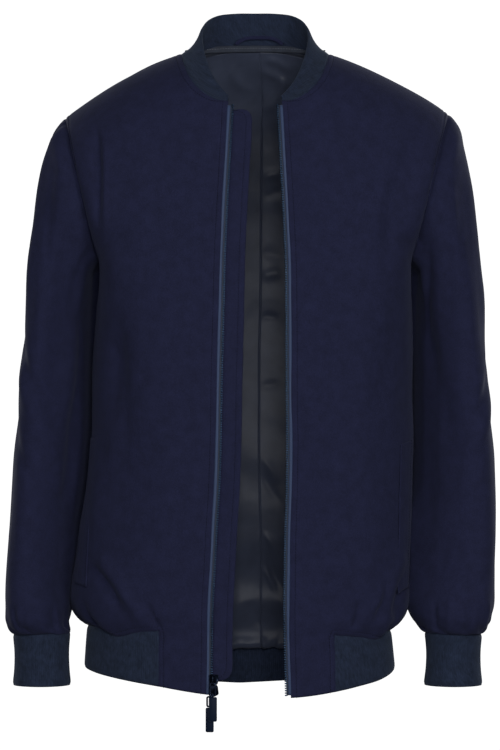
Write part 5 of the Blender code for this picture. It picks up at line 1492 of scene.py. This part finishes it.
class JACKET_OT_stage(bpy.types.Operator):
    """Set the camera, the floor, the pale surround and the studio lights"""
    bl_idname = "jacket.stage"
    bl_label = "Stage"

    def execute(self, context):
        stage = setting("stage")
        camera = bpy.data.cameras.new("camera")
        camera.sensor_fit, camera.sensor_height = "VERTICAL", 36.0
        camera.lens, camera.clip_end = stage.lens, 60.0
        eye = bpy.data.objects.new("camera", camera)
        eye.location = (stage.camera_x, -stage.distance, stage.camera_z)
        eye.rotation_euler = (math.pi / 2, 0.0, 0.0)
        context.collection.objects.link(eye)
        context.scene.camera = eye
        floor = bmesh.new()
        bmesh.ops.create_circle(floor, cap_ends=True, segments=96, radius=FLOOR_RADIUS)
        self.staged("floor", floor, "#EDEDEE", 0.6, ("diffuse", "glossy")).location.z = FLOOR_Z
        dome = bmesh.new()
        bmesh.ops.create_icosphere(dome, subdivisions=4, radius=DOME_RADIUS)
        self.staged("surround", dome, "#FFFFFF", 1.0,
                    ("diffuse", "glossy", "transmission", "volume_scatter", "shadow"))
        self.lights()
        context.scene.view_settings.view_transform = "Standard"
        world = bpy.data.worlds.new("studio_air")
        world.use_nodes = True
        background = world.node_tree.nodes["Background"].inputs
        background["Color"].default_value = (0.92, 0.95, 1.0, 1.0)
        background["Strength"].default_value = 0.07
        context.scene.world = world
        return {"FINISHED"}

    def staged(self, name, shaped, code, glow, hidden_from):
        """A piece of the stage, hidden from some kinds of ray so that it doesn't light the garment."""
        obj = added(name, mesh_of(name, shaped), stage_paint(name + "_paint", code, glow))
        for ray in hidden_from:
            setattr(obj, "visible_" + ray, False)
        return obj

    def lights(self):
        """The soft lights, each turned to the garment's middle."""
        for name, place, size, power in LIGHTS:
            light = bpy.data.lights.new(name, "AREA")
            light.size, light.energy = size, power
            lamp = bpy.data.objects.new(name, light)
            lamp.location = place
            lamp.rotation_euler = (GARMENT_MIDDLE - lamp.location).to_track_quat("-Z", "Y").to_euler()
            bpy.context.collection.objects.link(lamp)


class JACKET_PT_panel(bpy.types.Panel):
    """Lists the settings and the steps that make the jacket"""
    bl_label = "Jacket"
    bl_idname = "JACKET_PT_panel"
    bl_space_type = "VIEW_3D"
    bl_region_type = "UI"
    bl_category = "Jacket"

    def draw(self, context):
        for group, kind in GROUPS.items():
            box = self.layout.box()
            for label in kind.__annotations__:
                box.prop(getattr(context.scene, "jacket_" + group), label)
        for step in STEPS:
            self.layout.operator(step.bl_idname)


STEPS = (JACKET_OT_back, JACKET_OT_fronts, JACKET_OT_sleeves, JACKET_OT_ribs, JACKET_OT_lining,
         JACKET_OT_guard, JACKET_OT_neck, JACKET_OT_zip, JACKET_OT_stitches, JACKET_OT_hardware,
         JACKET_OT_stage)
CLASSES = (*GROUPS.values(), *STEPS, JACKET_PT_panel)


def register():
    for kind in CLASSES:
        bpy.utils.register_class(kind)
    for group, kind in GROUPS.items():
        setattr(bpy.types.Scene, "jacket_" + group, bpy.props.PointerProperty(type=kind))


def unregister():
    for group in GROUPS:
        delattr(bpy.types.Scene, "jacket_" + group)
    for kind in reversed(CLASSES):
        bpy.utils.unregister_class(kind)


def main():
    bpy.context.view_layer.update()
    register()
    for step in STEPS:
        area, label = step.bl_idname.split(".")
        getattr(getattr(bpy.ops, area), label)()
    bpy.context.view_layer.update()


if __name__ == "__main__":
    main()
